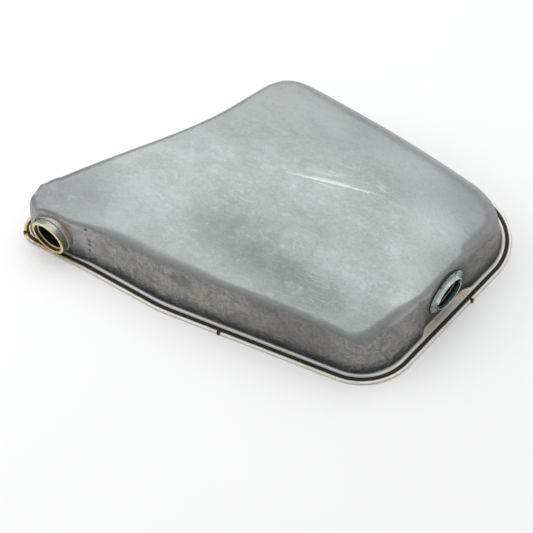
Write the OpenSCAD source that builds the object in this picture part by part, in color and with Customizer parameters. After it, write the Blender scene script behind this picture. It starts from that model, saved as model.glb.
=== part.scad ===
// Fuel tank: one pressed steel dome on a flat base pan, joined at a seam flange.
// Millimetres. +Z up, the base pan lies on z = 0, the long axis runs along X,
// the narrow tail with the filler neck is at -X and the wide end with the
// threaded ring is at +X.

/* [Tank body] */
// Highest point of the pressed dome above the base
crown_height = 103; // [98:1:106]
// Distance along X of the crown's high point from the origin
crown_x = -29; // [-34:1:-24]
// Distance along Y of the crown's high point from the origin
crown_y = 38; // [34:1:42]
// Y of the long straight edge, measured to the flange's outer edge
long_edge_y = -167.5; // [-169:0.5:-166]
// X of the wide end's low corner
wide_low_x = 201; // [199:0.5:203]
// X of the wide end's high corner
wide_high_x = 289; // [287:0.5:291]
// Y of the wide end's high corner
wide_high_y = 121; // [119:0.5:123]
// X of the shoulder peak
peak_x = -55; // [-58:0.5:-52]
// Y of the shoulder peak
peak_y = 183; // [180:0.5:186]
// X of the tail's low corner
tail_x = -269.5; // [-271:0.5:-268]

/* [Sheet and seam] */
// Thickness of the pressed sheet
sheet = 1.5; // [1.2:0.1:1.6]
// Width of the folded hem bead round the rim
hem_width = 3.6; // [3.4:0.1:4]
// Height of the folded hem bead
hem_height = 3.6; // [3.4:0.1:3.8]
// Inset of the dome flange's edge from the rim
flange_inset = 7.8; // [7.4:0.1:7.8]
// Inset of the foot of the dome wall from the rim
wall_inset = 12.1; // [12:0.1:12.6]
// Height of the black seam sealer
sealer_height = 2.5; // [2:0.1:2.8]
// Diameter of the rim rivets
rivet_d = 4.6; // [4.2:0.1:4.8]

/* [Filler neck] */
// Inside diameter of the filler neck
neck_id = 40.6; // [40:0.1:41]
// Outside diameter of the filler neck
neck_od = 47.2; // [46.6:0.1:47.6]
// Outside diameter of the weld ring at the neck's foot
neck_base_d = 51.6; // [51:0.1:51.8]
// Height of the neck's axis above the base
neck_z = 29.3; // [29.2:0.1:30]
// Turn of the neck's axis from square with the wall, towards the tail
neck_turn = 7; // [5:0.5:8]
// Inside diameter of the seat ring inside the neck
neck_seat_id = 35; // [34:0.5:36]
// Depth of the seat ring below the neck's rim
neck_seat_depth = 4.2; // [4:0.1:5]

/* [Threaded ring] */
// Outside diameter of the threaded ring
ring_od = 58.6; // [58:0.1:58.8]
// Bore of the threaded ring
ring_id = 40.6; // [40:0.1:41]
// Thickness of the threaded ring
ring_thickness = 8.5; // [8:0.5:9]
// Height of the tapered collar that stands out of the ring's face
ring_collar_height = 5; // [4:0.5:5.5]
// Pitch circle diameter of the six tapped holes
ring_pitch_d = 52.4; // [52:0.1:53]
// Diameter of the tapped holes, M5 before threading
ring_tap_d = 4.2; // [4:0.1:4.3]
// Height of the ring's axis above the base
ring_z = 38.2; // [38:0.1:38.5]

/* [Base fittings] */
// Spacing of the mounting bosses along X
boss_pitch_x = 300; // [290:1:304]
// Spacing of the mounting bosses along Y
boss_pitch_y = 90; // [84:1:92]
// Diameter of the mounting bosses
boss_d = 18; // [17:0.5:19]
// Height of the mounting bosses
boss_height = 13; // [12:0.5:14]
// Diameter of the tapped boss holes, M8 before threading
boss_tap_d = 6.8; // [6.6:0.1:7]
// Minor diameter of the outlet thread, M16 x 1
outlet_d = 14.9; // [14.8:0.1:15]
// Outside diameter of the outlet bung
outlet_od = 26; // [25:0.5:27]
// Depth of the pressed recess in the base
recess_height = 24; // [22:1:26]
// Outside diameter of the vent spigot
vent_d = 6; // [5.8:0.1:6.2]
// Outside diameter of the return spigot
return_d = 8; // [7.8:0.1:8.2]

/* [Baffles] */
// X of the baffle near the wide end
baffle_front_x = 95; // [93:1:97]
// X of the baffle near the tail
baffle_rear_x = -75; // [-77:1:-74]
// Thickness of the baffle sheet
baffle_thickness = 1.2; // [1:0.1:1.4]
// Diameter of the baffles' lightening holes
baffle_hole_d = 30; // [26:1:32]

/* [Hidden] */
$fn = 64;

// ---- Plane vectors and blends ----
function xy(p) = [p.x, p.y];
function unit(v) = v / norm(v);
function right_of(v) = [v.y, -v.x];
function heading(v) = atan2(v.y, v.x);
function turned(v, angle) = [v.x * cos(angle) - v.y * sin(angle),
                             v.x * sin(angle) + v.y * cos(angle)];
function flatten(lists) = [for (list = lists) each list];
function mix(from, to, share) = from + (to - from) * share;
function smooth(t) = let (u = max(0, min(1, t))) u * u * (3 - 2 * u);

// ---- Shared shapes ----
module post(d, z0, z1) translate([0, 0, z0]) cylinder(d = d, h = z1 - z0);
module tube(outer_d, inner_d, z0, z1) difference() {
    post(outer_d, z0, z1);
    post(inner_d, z0 - 1, z1 + 1);
}
module layer(z0, z1) translate([0, 0, z0]) linear_extrude(z1 - z0) children();
module at_each(places) for (p = places) translate([p.x, p.y, 0]) children();

// ---- Rim outline ----
// Corner x, y and radius, counter-clockwise. The fourth turns inward.
CORNERS = [
    [wide_low_x, long_edge_y, 73],
    [wide_high_x, wide_high_y, 76],
    [peak_x, peak_y, 86],
    [-123, 48, 320],
    [-264.5, -88, 50],
    [tail_x, -144, 24],
    [-176, -154, 130],
    [-73, long_edge_y - 1, 195]
];
CORNER_COUNT = len(CORNERS);
ARC_STEP = 9;        // longest step round a corner
ARC_TURN = 9;        // most degrees turned in one step
LINE_STEP = 28;      // spacing along straight edges
WIDE_LINE_STEP = 8;  // finer spacing along the wide end, which is dished

// [corner point, direction in, direction out, turn angle, radius, tangent length]
function corner(i) = let (
    p = xy(CORNERS[i]),
    before = xy(CORNERS[(i + CORNER_COUNT - 1) % CORNER_COUNT]),
    after = xy(CORNERS[(i + 1) % CORNER_COUNT]),
    dir_in = unit(p - before),
    dir_out = unit(after - p),
    turn = atan2(cross(dir_in, dir_out), dir_in * dir_out),
    radius = CORNERS[i][2])
    [p, dir_in, dir_out, turn, radius, radius * tan(abs(turn) / 2)];

// Stations round one corner, both arc ends included
function arc_stations(c) = let (
    dir_in = c[1],
    turn = c[3],
    radius = c[4],
    start = c[0] - dir_in * c[5],
    centre = start - sign(turn) * radius * right_of(dir_in),
    steps = max(2, ceil(abs(turn) * PI / 180 * radius / ARC_STEP), ceil(abs(turn) / ARC_TURN)))
    [for (j = [0:steps]) let (angle = turn * j / steps)
        concat(centre + turned(start - centre, angle), right_of(turned(dir_in, angle)))];

// Stations between two corners, both line ends left out
function line_stations(c, next, step) = let (
    start = c[0] + c[2] * c[5],
    end = next[0] - c[2] * next[5],
    length = norm(end - start),
    steps = max(1, floor(length / step)))
    [for (j = [1:1:steps - 1]) concat(start + c[2] * length * j / steps, right_of(c[2]))];

// Each station is x, y and the outward normal's x, y. Every part of the seam
// uses the same stations, so their edges meet exactly.
STATIONS = [for (i = [0:CORNER_COUNT - 1])
    let (c = corner(i), next = corner((i + 1) % CORNER_COUNT))
    each concat(arc_stations(c), line_stations(c, next, i == 0 ? WIDE_LINE_STEP : LINE_STEP))];

function outward(p) = [p[2], p[3]];
function inset_point(p, d) = xy(p) - outward(p) * d;

module outline(inset) polygon([for (p = STATIONS) inset_point(p, inset)]);
module band(outer_inset, inner_inset) difference() {
    outline(outer_inset);
    outline(inner_inset);
}

// ---- Dome wall, as it varies round the rim ----
// Columns of the three tables: heading of the outward normal, value there
FOOT_INSET = [[-90, wall_inset], [90, wall_inset], [150, 10.7], [190, 8], [225, 9.5]];
DRAFT_ANGLE = [[-90, 5.2], [-17.5, 9], [83, 15], [141, 9], [170, 5.7], [205, 3.9]];
SHOULDER_INSET = [[-90, 27], [-17.5, 36], [83, 54], [141, 33], [160, 32], [180, 22.6],
                  [205, 27.8], [232, 28], [264, 19.5]];

NECK_SIDE = [-225, -149];   // rim point beside the filler neck
FACET_SIDE = [209, -130];   // rim point beside the sloped corner facet
LEAN_SIDE = [-96, -166];    // rim point beside the softer part of the long wall
NOSE_SIDE = [-262, -122];   // rim point at the tip of the tail
NOSE_CENTRE = [-212, -106]; // point the tail's sections are fanned about

// Smooth interpolation in a table that wraps round the compass
function around(angle, table) = let (
    count = len(table),
    first = table[0][0],
    x = angle - 360 * floor((angle - first) / 360),
    k = max([for (j = [0:count - 1]) if (table[j][0] <= x + 1e-9) j]),
    end = k == count - 1 ? first + 360 : table[k + 1][0])
    mix(table[k][1], table[(k + 1) % count][1], smooth((x - table[k][0]) / (end - table[k][0])));

// 1 within the inner distance of a place, falling to 0 at the outer distance
function fade(p, place, inner, outer) =
    1 - smooth((norm(xy(p) - place) - inner) / (outer - inner));
function near(p, value, place, inner, outer, target) =
    mix(value, target, fade(p, place, inner, outer));

// Recess in the wide end's wall that holds the threaded ring. Distances run
// along the wide end's edge direction, measured from the origin.
WIDE_DIR = unit(xy(CORNERS[1]) - xy(CORNERS[0]));
DISH_MIN_X = 150;      // the recess affects stations beyond this x only
DISH_END = 66;         // where it starts to fade at the high corner's side
DISH_END_RUN = 14;
DISH_FOOT = 18.3;      // foot inset at distance 0
DISH_FOOT_SLOPE = 0.008;
DISH_DRAFT = 0.6;
DISH_SHOULDER = 27.5;

// Share of the recess: 0 away from it, 1 along its flat middle
function dish(p, start = -14, run = 15) = let (s = xy(p) * WIDE_DIR)
    p.x < DISH_MIN_X ? 0 : smooth((s - start) / run) * (1 - smooth((s - DISH_END) / DISH_END_RUN));

function by_heading(p, table) = around(heading(outward(p)), table);
function foot(p) = mix(
    near(p, by_heading(p, FOOT_INSET), NECK_SIDE, inner = 25, outer = 60, target = 9.2),
    DISH_FOOT - DISH_FOOT_SLOPE * (xy(p) * WIDE_DIR),
    dish(p));
function draft(p) = let (
    facet = near(p, by_heading(p, DRAFT_ANGLE), FACET_SIDE, inner = 5, outer = 45, target = 15),
    lean = near(p, facet, LEAN_SIDE, inner = 30, outer = 110, target = 8))
    mix(lean, DISH_DRAFT, dish(p));
function shoulder(p) = let (
    facet = near(p, by_heading(p, SHOULDER_INSET), FACET_SIDE, inner = 8, outer = 60, target = 39),
    lean = near(p, facet, LEAN_SIDE, inner = 30, outer = 110, target = 33))
    mix(lean, DISH_SHOULDER, dish(p, start = -45, run = 45));

// Inward direction of the section: square to the rim, but fanned in the tail
function inward(p) = let (
    share = fade(p, NOSE_SIDE, inner = 33, outer = 97),
    to_centre = unit(NOSE_CENTRE - xy(p)))
    unit(to_centre * share - outward(p) * (1 - share));

// ---- Dome surface ----
FLANGE_Z = 2 * sheet;  // top of the dome's flange, which lies on the base pan
WALL_STEPS = 2;        // straight steps up the wall
SHOULDER_STEPS = 7;    // steps round the shoulder
TOP_STEPS = 5;         // steps from the shoulder to the middle
MIDDLE = [30, -50];    // where the top's rings close

// Fall of the top from its high point: factors of the powers of x and y
FALL_XX = 3.1e-4;
FALL_XXX = 9.2e-7;
FALL_YY = 8.7e-4;
FALL_YYY = -1.6e-7;
FALL_XY = 3.0e-4;
function crown(p) = let (x = p.x - crown_x, y = p.y - crown_y)
    crown_height - FALL_XX * x * x - FALL_XXX * x * x * x
    - FALL_YY * y * y - FALL_YYY * y * y * y - FALL_XY * x * y;

// [foot point, direction from foot to shoulder, their distance, shoulder point]
function plan(p) = let (
    foot_point = inset_point(p, foot(p)),
    top_point = xy(p) + inward(p) * shoulder(p),
    run = top_point - foot_point)
    [foot_point, unit(run), norm(run), top_point];

// Section at one station, as [distance, height] points from the foot of the wall
// to the shoulder. depth is 0 for the outside and the sheet for the inside.
function section(p, line, depth) = let (
    angle = draft(p),
    steepness = 1 / tan(angle),
    wall_shift = depth / cos(angle),
    base_z = FLANGE_Z - depth,
    top_d = line[2],
    top_z = crown(line[3]) - depth,
    top_slope = crown(line[3] + line[1]) - depth - top_z,
    // The wall's line and the top's tangent meet at the crease
    crease_d = (top_z - top_slope * top_d - FLANGE_Z + steepness * wall_shift)
        / (steepness - top_slope),
    crease = [crease_d, FLANGE_Z + steepness * (crease_d - wall_shift)],
    start = [wall_shift - depth / steepness, base_z],
    end = [top_d, top_z],
    // The shoulder curve starts below the crease, but leaves some straight wall
    reach = min(norm(end - crease), 0.85 * norm(crease - start)),
    wall_dir = unit(crease - start),
    top_dir = unit(end - crease),
    bend = crease - wall_dir * reach,
    weight = cos(acos(max(-1, min(1, wall_dir * top_dir))) / 2))
    concat(
        [for (i = [0:WALL_STEPS - 1]) mix(start, bend, i / WALL_STEPS)],
        // Rational quadratic curve, a circular arc where both tangents are equal
        [for (i = [0:SHOULDER_STEPS]) let (
            u = i / SHOULDER_STEPS,
            a = (1 - u) * (1 - u),
            b = 2 * weight * u * (1 - u),
            c = u * u)
            (a * bend + b * crease + c * end) / (a + b + c)]);

// One skin of the dome as rings of points, from the flange edge inward
function skin(depth) = let (
    lines = [for (p = STATIONS) plan(p)],
    last = len(STATIONS) - 1,
    sections = [for (j = [0:last]) section(STATIONS[j], lines[j], depth)])
    concat(
        [[for (p = STATIONS) concat(inset_point(p, flange_inset), FLANGE_Z - depth)]],
        [for (r = [0:WALL_STEPS + SHOULDER_STEPS]) [for (j = [0:last])
            let (line = lines[j], point = sections[j][r])
            concat(line[0] + line[1] * point[0], point[1])]],
        [for (r = [1:TOP_STEPS - 1]) [for (line = lines)
            let (q = mix(line[3], MIDDLE, r / TOP_STEPS))
            concat(q, crown(q) - depth)]]);

module dome() {
    n = len(STATIONS);
    outside = skin(0);
    inside = skin(sheet);
    rings = len(outside);
    middle = rings * n;
    inner = middle + 1;  // index of the inside skin's first point
    middle_z = crown(MIDDLE);
    points = concat(flatten(outside), [concat(MIDDLE, middle_z)],
                    flatten(inside), [concat(MIDDLE, middle_z - sheet)]);
    sides = [for (r = [0:rings - 2]) for (j = [0:n - 1])
        let (i = (j + 1) % n, low = r * n, high = low + n)
        each [[low + j, high + j, high + i], [low + j, high + i, low + i]]];
    cap = [for (j = [0:n - 1]) [middle - n + j, middle, middle - n + (j + 1) % n]];
    outer_faces = concat(sides, cap);
    inner_faces = [for (f = outer_faces) [f[0] + inner, f[2] + inner, f[1] + inner]];
    edge = [for (j = [0:n - 1]) let (i = (j + 1) % n)
        each [[j, i, inner + i], [j, inner + i, inner + j]]];
    polyhedron(points = points, faces = concat(outer_faces, inner_faces, edge), convexity = 6);
}

// ---- Fitting frames: z runs outward along the axis, z = 0 is the outer face ----
RING_CENTRE = [224.3, -31.7, ring_z];
RING_HEADING = heading(right_of(WIDE_DIR));
NECK_CENTRE = [-222.5, -148.9, neck_z];
NECK_HEADING = heading(right_of(xy(CORNERS[6]) - xy(CORNERS[5]))) - neck_turn;

module on_axis(centre, angle)
    translate(centre) rotate([0, 0, angle]) rotate([0, 90, 0]) children();
module at_ring() on_axis(RING_CENTRE, RING_HEADING) children();
module at_neck() on_axis(NECK_CENTRE, NECK_HEADING) children();

// ---- Places on the base ----
RIVETS = [[-260.9, -137], [3.6, -166.95], [249.0, -8.2]];
OUTLET = [150, 62];
BOSS_CENTRE = [10, -65];
BOSSES = [for (x = [-1, 1]) for (y = [-1, 1])
    BOSS_CENTRE + [x * boss_pitch_x / 2, y * boss_pitch_y / 2]];
RECESS_CENTRE = [10, 78];
SPIGOT_OFFSET = [32, 0];
VENT = RECESS_CENTRE - SPIGOT_OFFSET;
RETURN = RECESS_CENTRE + SPIGOT_OFFSET;

// ---- Shell, pan and seam ----
CUT_GAP = 0.2;      // added to the diameter of the openings in the dome
PAN_EDGE_Z = 0.5;   // height of the stepped lower edge of the pan
PAN_EDGE_IN = 0.4;
HEM_STEP_Z = 0.6;   // height of the narrower top of the hem
HEM_STEP_IN = 0.5;
PAN_CUT = [-1, 4];  // z range of the openings in the pan

module upper_shell() color([0.62, 0.65, 0.64]) difference() {
    dome();
    at_ring() post(ring_od + CUT_GAP, -16, 8);
    at_neck() post(neck_base_d + CUT_GAP, -30, 2);
}

module base_pan() color([0.72, 0.68, 0.6]) difference() {
    step_z = hem_height - HEM_STEP_Z;
    union() {
        layer(0, PAN_EDGE_Z) outline(PAN_EDGE_IN);
        layer(PAN_EDGE_Z, sheet) outline(0);
        layer(sheet, step_z) band(0, hem_width);
        layer(step_z, hem_height) band(HEM_STEP_IN, hem_width - HEM_STEP_IN);
    }
    at_each(RIVETS) post(rivet_d, -1, hem_height + 2);
    layer(PAN_CUT[0], PAN_CUT[1]) polygon(slot(RECESS));
    at_each(BOSSES) post(boss_d, PAN_CUT[0], PAN_CUT[1]);
    at_each([OUTLET]) post(outlet_od, PAN_CUT[0], PAN_CUT[1]);
}

module seam_sealer() color([0.12, 0.13, 0.13])
    layer(sheet, sealer_height) band(hem_width, flange_inset);

// Rivets with a blind hole in the head
module rim_rivets() color([0.25, 0.2, 0.14]) at_each(RIVETS) difference() {
    post(rivet_d, 0.2, hem_height + 1);
    post(2, hem_height - 1, hem_height + 3);
}

// ---- Filler neck ----
NECK_LENGTH = 20;
NECK_LIP = 1;               // length of the slimmer end at the rim
NECK_LIP_D = neck_od - 0.8;
NECK_BORE_D = neck_id - 1.4; // bore below the seat ring
NECK_SEAT_T = 1.5;

// The tube runs from its rim through the weld ring into the tank
module filler_neck() color([0.7, 0.7, 0.6]) at_neck() difference() {
    union() {
        post(neck_od, -NECK_LENGTH, -NECK_LIP);
        post(NECK_LIP_D, -NECK_LIP, 0);
    }
    post(neck_id, -neck_seat_depth, 1);
    post(NECK_BORE_D, -NECK_LENGTH - 1, 0);
}
module neck_weld_ring() color([0.6, 0.57, 0.5]) at_neck() tube(neck_base_d, neck_od, -18, -8.5);
module neck_seat_ring() color([0.68, 0.68, 0.6]) at_neck()
    tube(NECK_BORE_D, neck_seat_id, -neck_seat_depth - NECK_SEAT_T, -neck_seat_depth);

// ---- Threaded ring ----
RELIEF_D = 45.6;       // relief behind the face, which holds the backing ring
RING_FACE_T = 1.2;     // thickness left in front of the relief
COLLAR_FOOT_WALL = 3;  // collar wall at the face
COLLAR_RIM_WALL = 1.2; // collar wall at its rim
TAP_DEPTH = 7;
NOTCH = [6, 3.2, 6];   // cutter for the two notches in the collar's rim
NOTCH_DEPTH = 2.4;
NOTCH_OFFSET = 0.4;    // notch centre outside the bore

module sender_ring() color([0.62, 0.7, 0.66]) at_ring() difference() {
    bore_r = ring_id / 2;
    union() {
        post(ring_od, -ring_thickness, 0);
        cylinder(r1 = bore_r + COLLAR_FOOT_WALL, r2 = bore_r + COLLAR_RIM_WALL,
                 h = ring_collar_height);
    }
    post(ring_id, -ring_thickness - 1, ring_collar_height + 1);
    post(RELIEF_D, -ring_thickness - 1, -RING_FACE_T);
    for (i = [0:5]) rotate([0, 0, 60 * i + 30]) translate([ring_pitch_d / 2, 0, 0])
        post(ring_tap_d, -TAP_DEPTH, 2);
    for (side = [-1, 1])
        translate([-NOTCH.x / 2, side * (bore_r + NOTCH_OFFSET) - NOTCH.y / 2,
                   ring_collar_height - NOTCH_DEPTH])
            cube(NOTCH);
}
module ring_sealer() color([0.08, 0.09, 0.09]) at_ring()
    tube(ring_od + 1.8, ring_od, -0.65, -0.15);
module ring_backing() color([0.5, 0.52, 0.5]) at_ring() tube(RELIEF_D, 37, -4.4, -2.9);

// ---- Baffles ----
BAFFLE_LOW_Y = -136;
BAFFLE_STEPS = 28;
BAFFLE_GAP = 4;        // clearance below the dome
BAFFLE_END_DROP = 30;  // extra drop at both ends
BAFFLE_FLAT = 0.62;    // share of the half span without extra drop
BAFFLE_HOLE_Z = 40;
FOOT_WIDTH = 13;
FOOT_END_GAP = 14;
FOOT_NOTCH_D = 16;     // round cut-outs along the bottom edge and foot

module hole_x(d, y, z, length)
    translate([-2, y, z]) rotate([0, 90, 0]) cylinder(d = d, h = length);

// Plate across the tank with a welded foot, cleared from the dome all round
module baffle(x, high_y) {
    span = high_y - BAFFLE_LOW_Y;
    mid_y = (BAFFLE_LOW_Y + high_y) / 2;
    top = [for (i = [BAFFLE_STEPS:-1:0]) let (
        y = BAFFLE_LOW_Y + span * i / BAFFLE_STEPS,
        from_mid = abs(2 * i / BAFFLE_STEPS - 1),
        end_share = max(0, (from_mid - BAFFLE_FLAT) / (1 - BAFFLE_FLAT)))
        [y, crown([x, y]) - sheet - BAFFLE_GAP - BAFFLE_END_DROP * pow(end_share, 2)]];
    translate([x, 0, 0]) difference() {
        union() {
            rotate([90, 0, 90]) linear_extrude(baffle_thickness)
                polygon(concat([[BAFFLE_LOW_Y, sheet], [high_y, sheet]], top));
            translate([0, BAFFLE_LOW_Y + FOOT_END_GAP, sheet])
                cube([FOOT_WIDTH, span - 2 * FOOT_END_GAP, baffle_thickness]);
        }
        for (k = [-1:1]) hole_x(baffle_hole_d, mid_y + k * span * 0.27, BAFFLE_HOLE_Z, 8);
        for (side = [-1, 1]) hole_x(FOOT_NOTCH_D, mid_y + side * span * 0.15, sheet, 20);
    }
}
module baffle_front() color([0.55, 0.56, 0.56]) baffle(baffle_front_x, 116);
module baffle_rear() color([0.55, 0.56, 0.56]) baffle(baffle_rear_x, 86);

// ---- Pressed recess in the base for the hose spigots ----
// Rounded rectangles: half length in X, half width in Y, corner radius
RECESS = [60, 24, 16];
RECESS_FLANGE = [68, 32, 22];
RECESS_TAPER = 5;      // inset of the roof from the mouth
SPIGOT_COLLAR_D = 12;

function slot(size) = [for (q = [0:3]) for (j = [0:5]) let (
    angle = 90 * q + 18 * j,
    centre = [(q == 0 || q == 3 ? 1 : -1) * (size.x - size.z),
              (q < 2 ? 1 : -1) * (size.y - size.z)])
    RECESS_CENTRE + centre + size.z * [cos(angle), sin(angle)]];

// Tapered block from the mouth at z0 to the roof at z1
module bath(size, z0, z1) {
    mouth = [for (p = slot(size)) concat(p, z0)];
    roof = [for (p = slot(size - RECESS_TAPER * [1, 1, 1])) concat(p, z1)];
    n = len(mouth);
    walls = [for (i = [0:n - 1]) let (k = (i + 1) % n) each [[i, n + i, n + k], [i, n + k, k]]];
    ends = [[for (i = [0:n - 1]) i], [for (i = [n - 1:-1:0]) n + i]];
    polyhedron(points = concat(mouth, roof), faces = concat(ends, walls), convexity = 4);
}

module recess_pressing() color([0.66, 0.64, 0.58]) difference() {
    union() {
        layer(sheet, sheet * 2) polygon(slot(RECESS_FLANGE));
        bath(RECESS, sheet, recess_height);
    }
    bath(RECESS - sheet * [1, 1, 1], sheet - 0.01, recess_height - sheet);
    at_each([VENT, RETURN]) post(SPIGOT_COLLAR_D, recess_height - 4, recess_height + 4);
}

// ---- Hose spigots and inner tubes ----
TUBE_OD = 6;
TUBE_ID = 4;
SPIGOT_WALL = 1.2;
VENT_RISE = 56;     // straight rise of the vent tube
VENT_BEND_R = 8;
VENT_RUN = 16;      // level run towards -Y
RETURN_RISE = 34;

// A collar let into the recess's roof, a hose end below and a socket above
// for the inner tube
module spigot(place, d) at_each([place]) difference() {
    union() {
        post(SPIGOT_COLLAR_D, recess_height - 3, recess_height + 6);
        post(d, 4, recess_height - 2);
    }
    post(d - 2 * SPIGOT_WALL, 0, recess_height + 20);
    post(TUBE_OD, recess_height, recess_height + 12);
}
module vent_spigot() color([0.7, 0.68, 0.6]) spigot(VENT, vent_d);
module return_spigot() color([0.7, 0.68, 0.6]) spigot(RETURN, return_d);

// Rise, elbow and level run; extra lengthens both ends
module vent_path(d, extra) translate([VENT.x, VENT.y, recess_height]) {
    post(d, -extra, VENT_RISE);
    translate([0, -VENT_BEND_R, VENT_RISE]) rotate([0, -90, 0])
        rotate_extrude(angle = 90) translate([VENT_BEND_R, 0]) circle(d = d);
    translate([0, -VENT_BEND_R, VENT_RISE + VENT_BEND_R]) rotate([90, 0, 0])
        cylinder(d = d, h = VENT_RUN + extra);
}
module vent_tube() color([0.6, 0.6, 0.58]) difference() {
    vent_path(TUBE_OD, 0);
    vent_path(TUBE_ID, 1);
}
module return_tube() color([0.6, 0.6, 0.58])
    at_each([RETURN]) tube(TUBE_OD, TUBE_ID, recess_height, recess_height + RETURN_RISE);

// ---- Outlet bung and mounting bosses: inside the tank, flush with the base below ----
OUTLET_HEIGHT = 14;
BOSS_TAP_DEPTH = 10;
DOUBLER_D = 34;
DOUBLER_T = 1.2;

module outlet_bung() color([0.68, 0.68, 0.62])
    at_each([OUTLET]) tube(outlet_od, outlet_d, 0, OUTLET_HEIGHT);
module mount_bosses() color([0.55, 0.55, 0.53]) at_each(BOSSES) difference() {
    post(boss_d, 0, boss_height);
    post(boss_tap_d, -1, BOSS_TAP_DEPTH);
}
module mount_doublers() color([0.6, 0.59, 0.56])
    at_each(BOSSES) tube(DOUBLER_D, boss_d, sheet, sheet + DOUBLER_T);

upper_shell();
base_pan();
seam_sealer();
rim_rivets();
filler_neck();
neck_weld_ring();
neck_seat_ring();
sender_ring();
ring_sealer();
ring_backing();
baffle_front();
baffle_rear();
recess_pressing();
outlet_bung();
mount_bosses();
mount_doublers();
vent_spigot();
vent_tube();
return_spigot();
return_tube();
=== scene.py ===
"""Sheet-steel tank: a domed upper shell on a flat base pan joined by a rolled hem.

It lies flat, with the pan's underside at z = 0 and the crown up +Z. A flanged ring sits in
the +X wall, and a filler neck in the -Y wall near the -X end (the nose). Sizes are in
millimetres and become metres when a mesh is built.
"""
import math
from functools import cached_property, reduce

import bmesh
import bpy
import numpy as np
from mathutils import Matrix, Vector
from mathutils.geometry import delaunay_2d_cdt

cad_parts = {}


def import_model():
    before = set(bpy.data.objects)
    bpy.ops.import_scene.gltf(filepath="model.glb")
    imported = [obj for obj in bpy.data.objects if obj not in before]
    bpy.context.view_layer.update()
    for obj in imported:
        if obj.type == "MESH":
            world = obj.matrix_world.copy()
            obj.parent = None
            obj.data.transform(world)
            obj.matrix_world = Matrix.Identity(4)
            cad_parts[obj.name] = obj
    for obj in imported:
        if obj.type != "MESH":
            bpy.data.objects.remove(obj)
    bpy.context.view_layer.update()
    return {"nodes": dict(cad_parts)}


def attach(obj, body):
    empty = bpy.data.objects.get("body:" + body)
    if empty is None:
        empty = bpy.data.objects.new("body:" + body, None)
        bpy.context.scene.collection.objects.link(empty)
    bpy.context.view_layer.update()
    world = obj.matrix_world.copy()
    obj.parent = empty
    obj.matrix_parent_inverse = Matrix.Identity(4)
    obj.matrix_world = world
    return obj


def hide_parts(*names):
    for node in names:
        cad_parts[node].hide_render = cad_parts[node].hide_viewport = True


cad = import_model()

MM = 0.001
SCENE = bpy.context.scene
COLL = SCENE.collection


def unit(v):
    v = np.asarray(v, float)
    return v / np.linalg.norm(v)


# ---------------------------------------------------------------- driving dimensions
# rim corners, counter-clockwise from above: x, y, corner radius
CORNERS = [(201, -167.5, 73), (289, 121, 76), (-55, 183, 86), (-123, 48, 320),
           (-264.5, -88, 50), (-269.5, -144, 24), (-176, -154, 130), (-73, -168.5, 195)]
SHEET = 1.5
HEM_W, HEM_H = 3.6, 3.6
FLANGE_IN = 7.8                     # rim to the shell flange's outer edge
FLANGE_TOP = 2 * SHEET

# wall stations round the rim: direction of the outward normal in degrees, value
FOOT_IN = [(-90, 12.1), (90, 12.1), (150, 10.7), (190, 8), (225, 9.5)]      # rim to wall foot
DRAFT = [(-90, 5.2), (-17.5, 9), (83, 15), (141, 9), (170, 5.7), (205, 3.9)]  # wall lean, deg
SHOULDER_IN = [(-90, 27), (-17.5, 36), (83, 54), (141, 33), (160, 32), (180, 22.6),
               (205, 27.8), (232, 28), (264, 19.5)]                      # rim to shoulder line
# local changes to those: centre, full inside this radius, none beyond this one, value
NECK_AT, FACET_AT, LEAN_AT = (-225, -149), (209, -130), (-96, -166)
FOOT_SPOTS = [(NECK_AT, 25, 60, 9.2)]
DRAFT_SPOTS = [(FACET_AT, 5, 45, 15), (LEAN_AT, 30, 110, 8)]
SHOULDER_SPOTS = [(FACET_AT, 8, 60, 39), (LEAN_AT, 30, 110, 33)]
NOSE, NOSE_AT = np.array([-212.0, -106.0]), (-262, -122)    # shoulder leans to NOSE near NOSE_AT

# flanged ring: outer, bore, thickness, hole circle, hole size, collar height, rear relief radius
RING_OD, RING_ID, RING_T, RING_PCD, RING_TAP = 58.6, 40.6, 8.5, 52.4, 4.2
COLLAR, RELIEF = 5.0, 22.8
RING_AT = np.array([224.3, -31.7, 38.2])
RING_OUT = unit([CORNERS[1][1] - CORNERS[0][1], -(CORNERS[1][0] - CORNERS[0][0]), 0])

# filler neck: bore, outside, weld ring, length and seat
NECK_ID, NECK_OD, NECK_BASE, NECK_L, SEAT_ID, SEAT_D = 40.6, 47.2, 51.6, 20.0, 35.0, 4.2
SEAT_R = NECK_ID / 2 - 0.7          # bore behind the seat step
MOUTH_AT = np.array([-222.5, -148.9, 29.3])
NECK_TURN = math.atan2(-(CORNERS[6][0] - CORNERS[5][0]),
                       CORNERS[6][1] - CORNERS[5][1]) - math.radians(7)
NECK_OUT = unit([math.cos(NECK_TURN), math.sin(NECK_TURN), 0])

# base fittings
RIVETS = [(-260.9, -137.0), (3.6, -166.95), (249.0, -8.2)]
BOSSES = [(10 + x * 150, -65 + y * 45) for x in (-1, 1) for y in (-1, 1)]
BOSS_R, BOSS_BORE = 9.0, 3.4
BUNG_XY, BUNG_R, BUNG_BORE = (150.0, 62.0), 13.0, 7.45
RECESS_X, RECESS_Y, RECESS_H = 10.0, 78.0, 24.0
RECESS_HALF_X, RECESS_HALF_Y, RECESS_R = 60, 24, 16
VENT_X, RETURN_X = -22.0, 42.0
PIPE_R, PIPE_BORE = 2.98, 2.0


# ---------------------------------------------------------------- form of the rim and crown
def crown(x, y):
    """Height of the crown, a cubic about its summit."""
    u, v = x + 29.0, y - 38.0
    return 103.0 - 3.1e-4 * u * u - 9.2e-7 * u ** 3 - 8.7e-4 * v * v + 1.6e-7 * v ** 3 - 3.0e-4 * u * v


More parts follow.
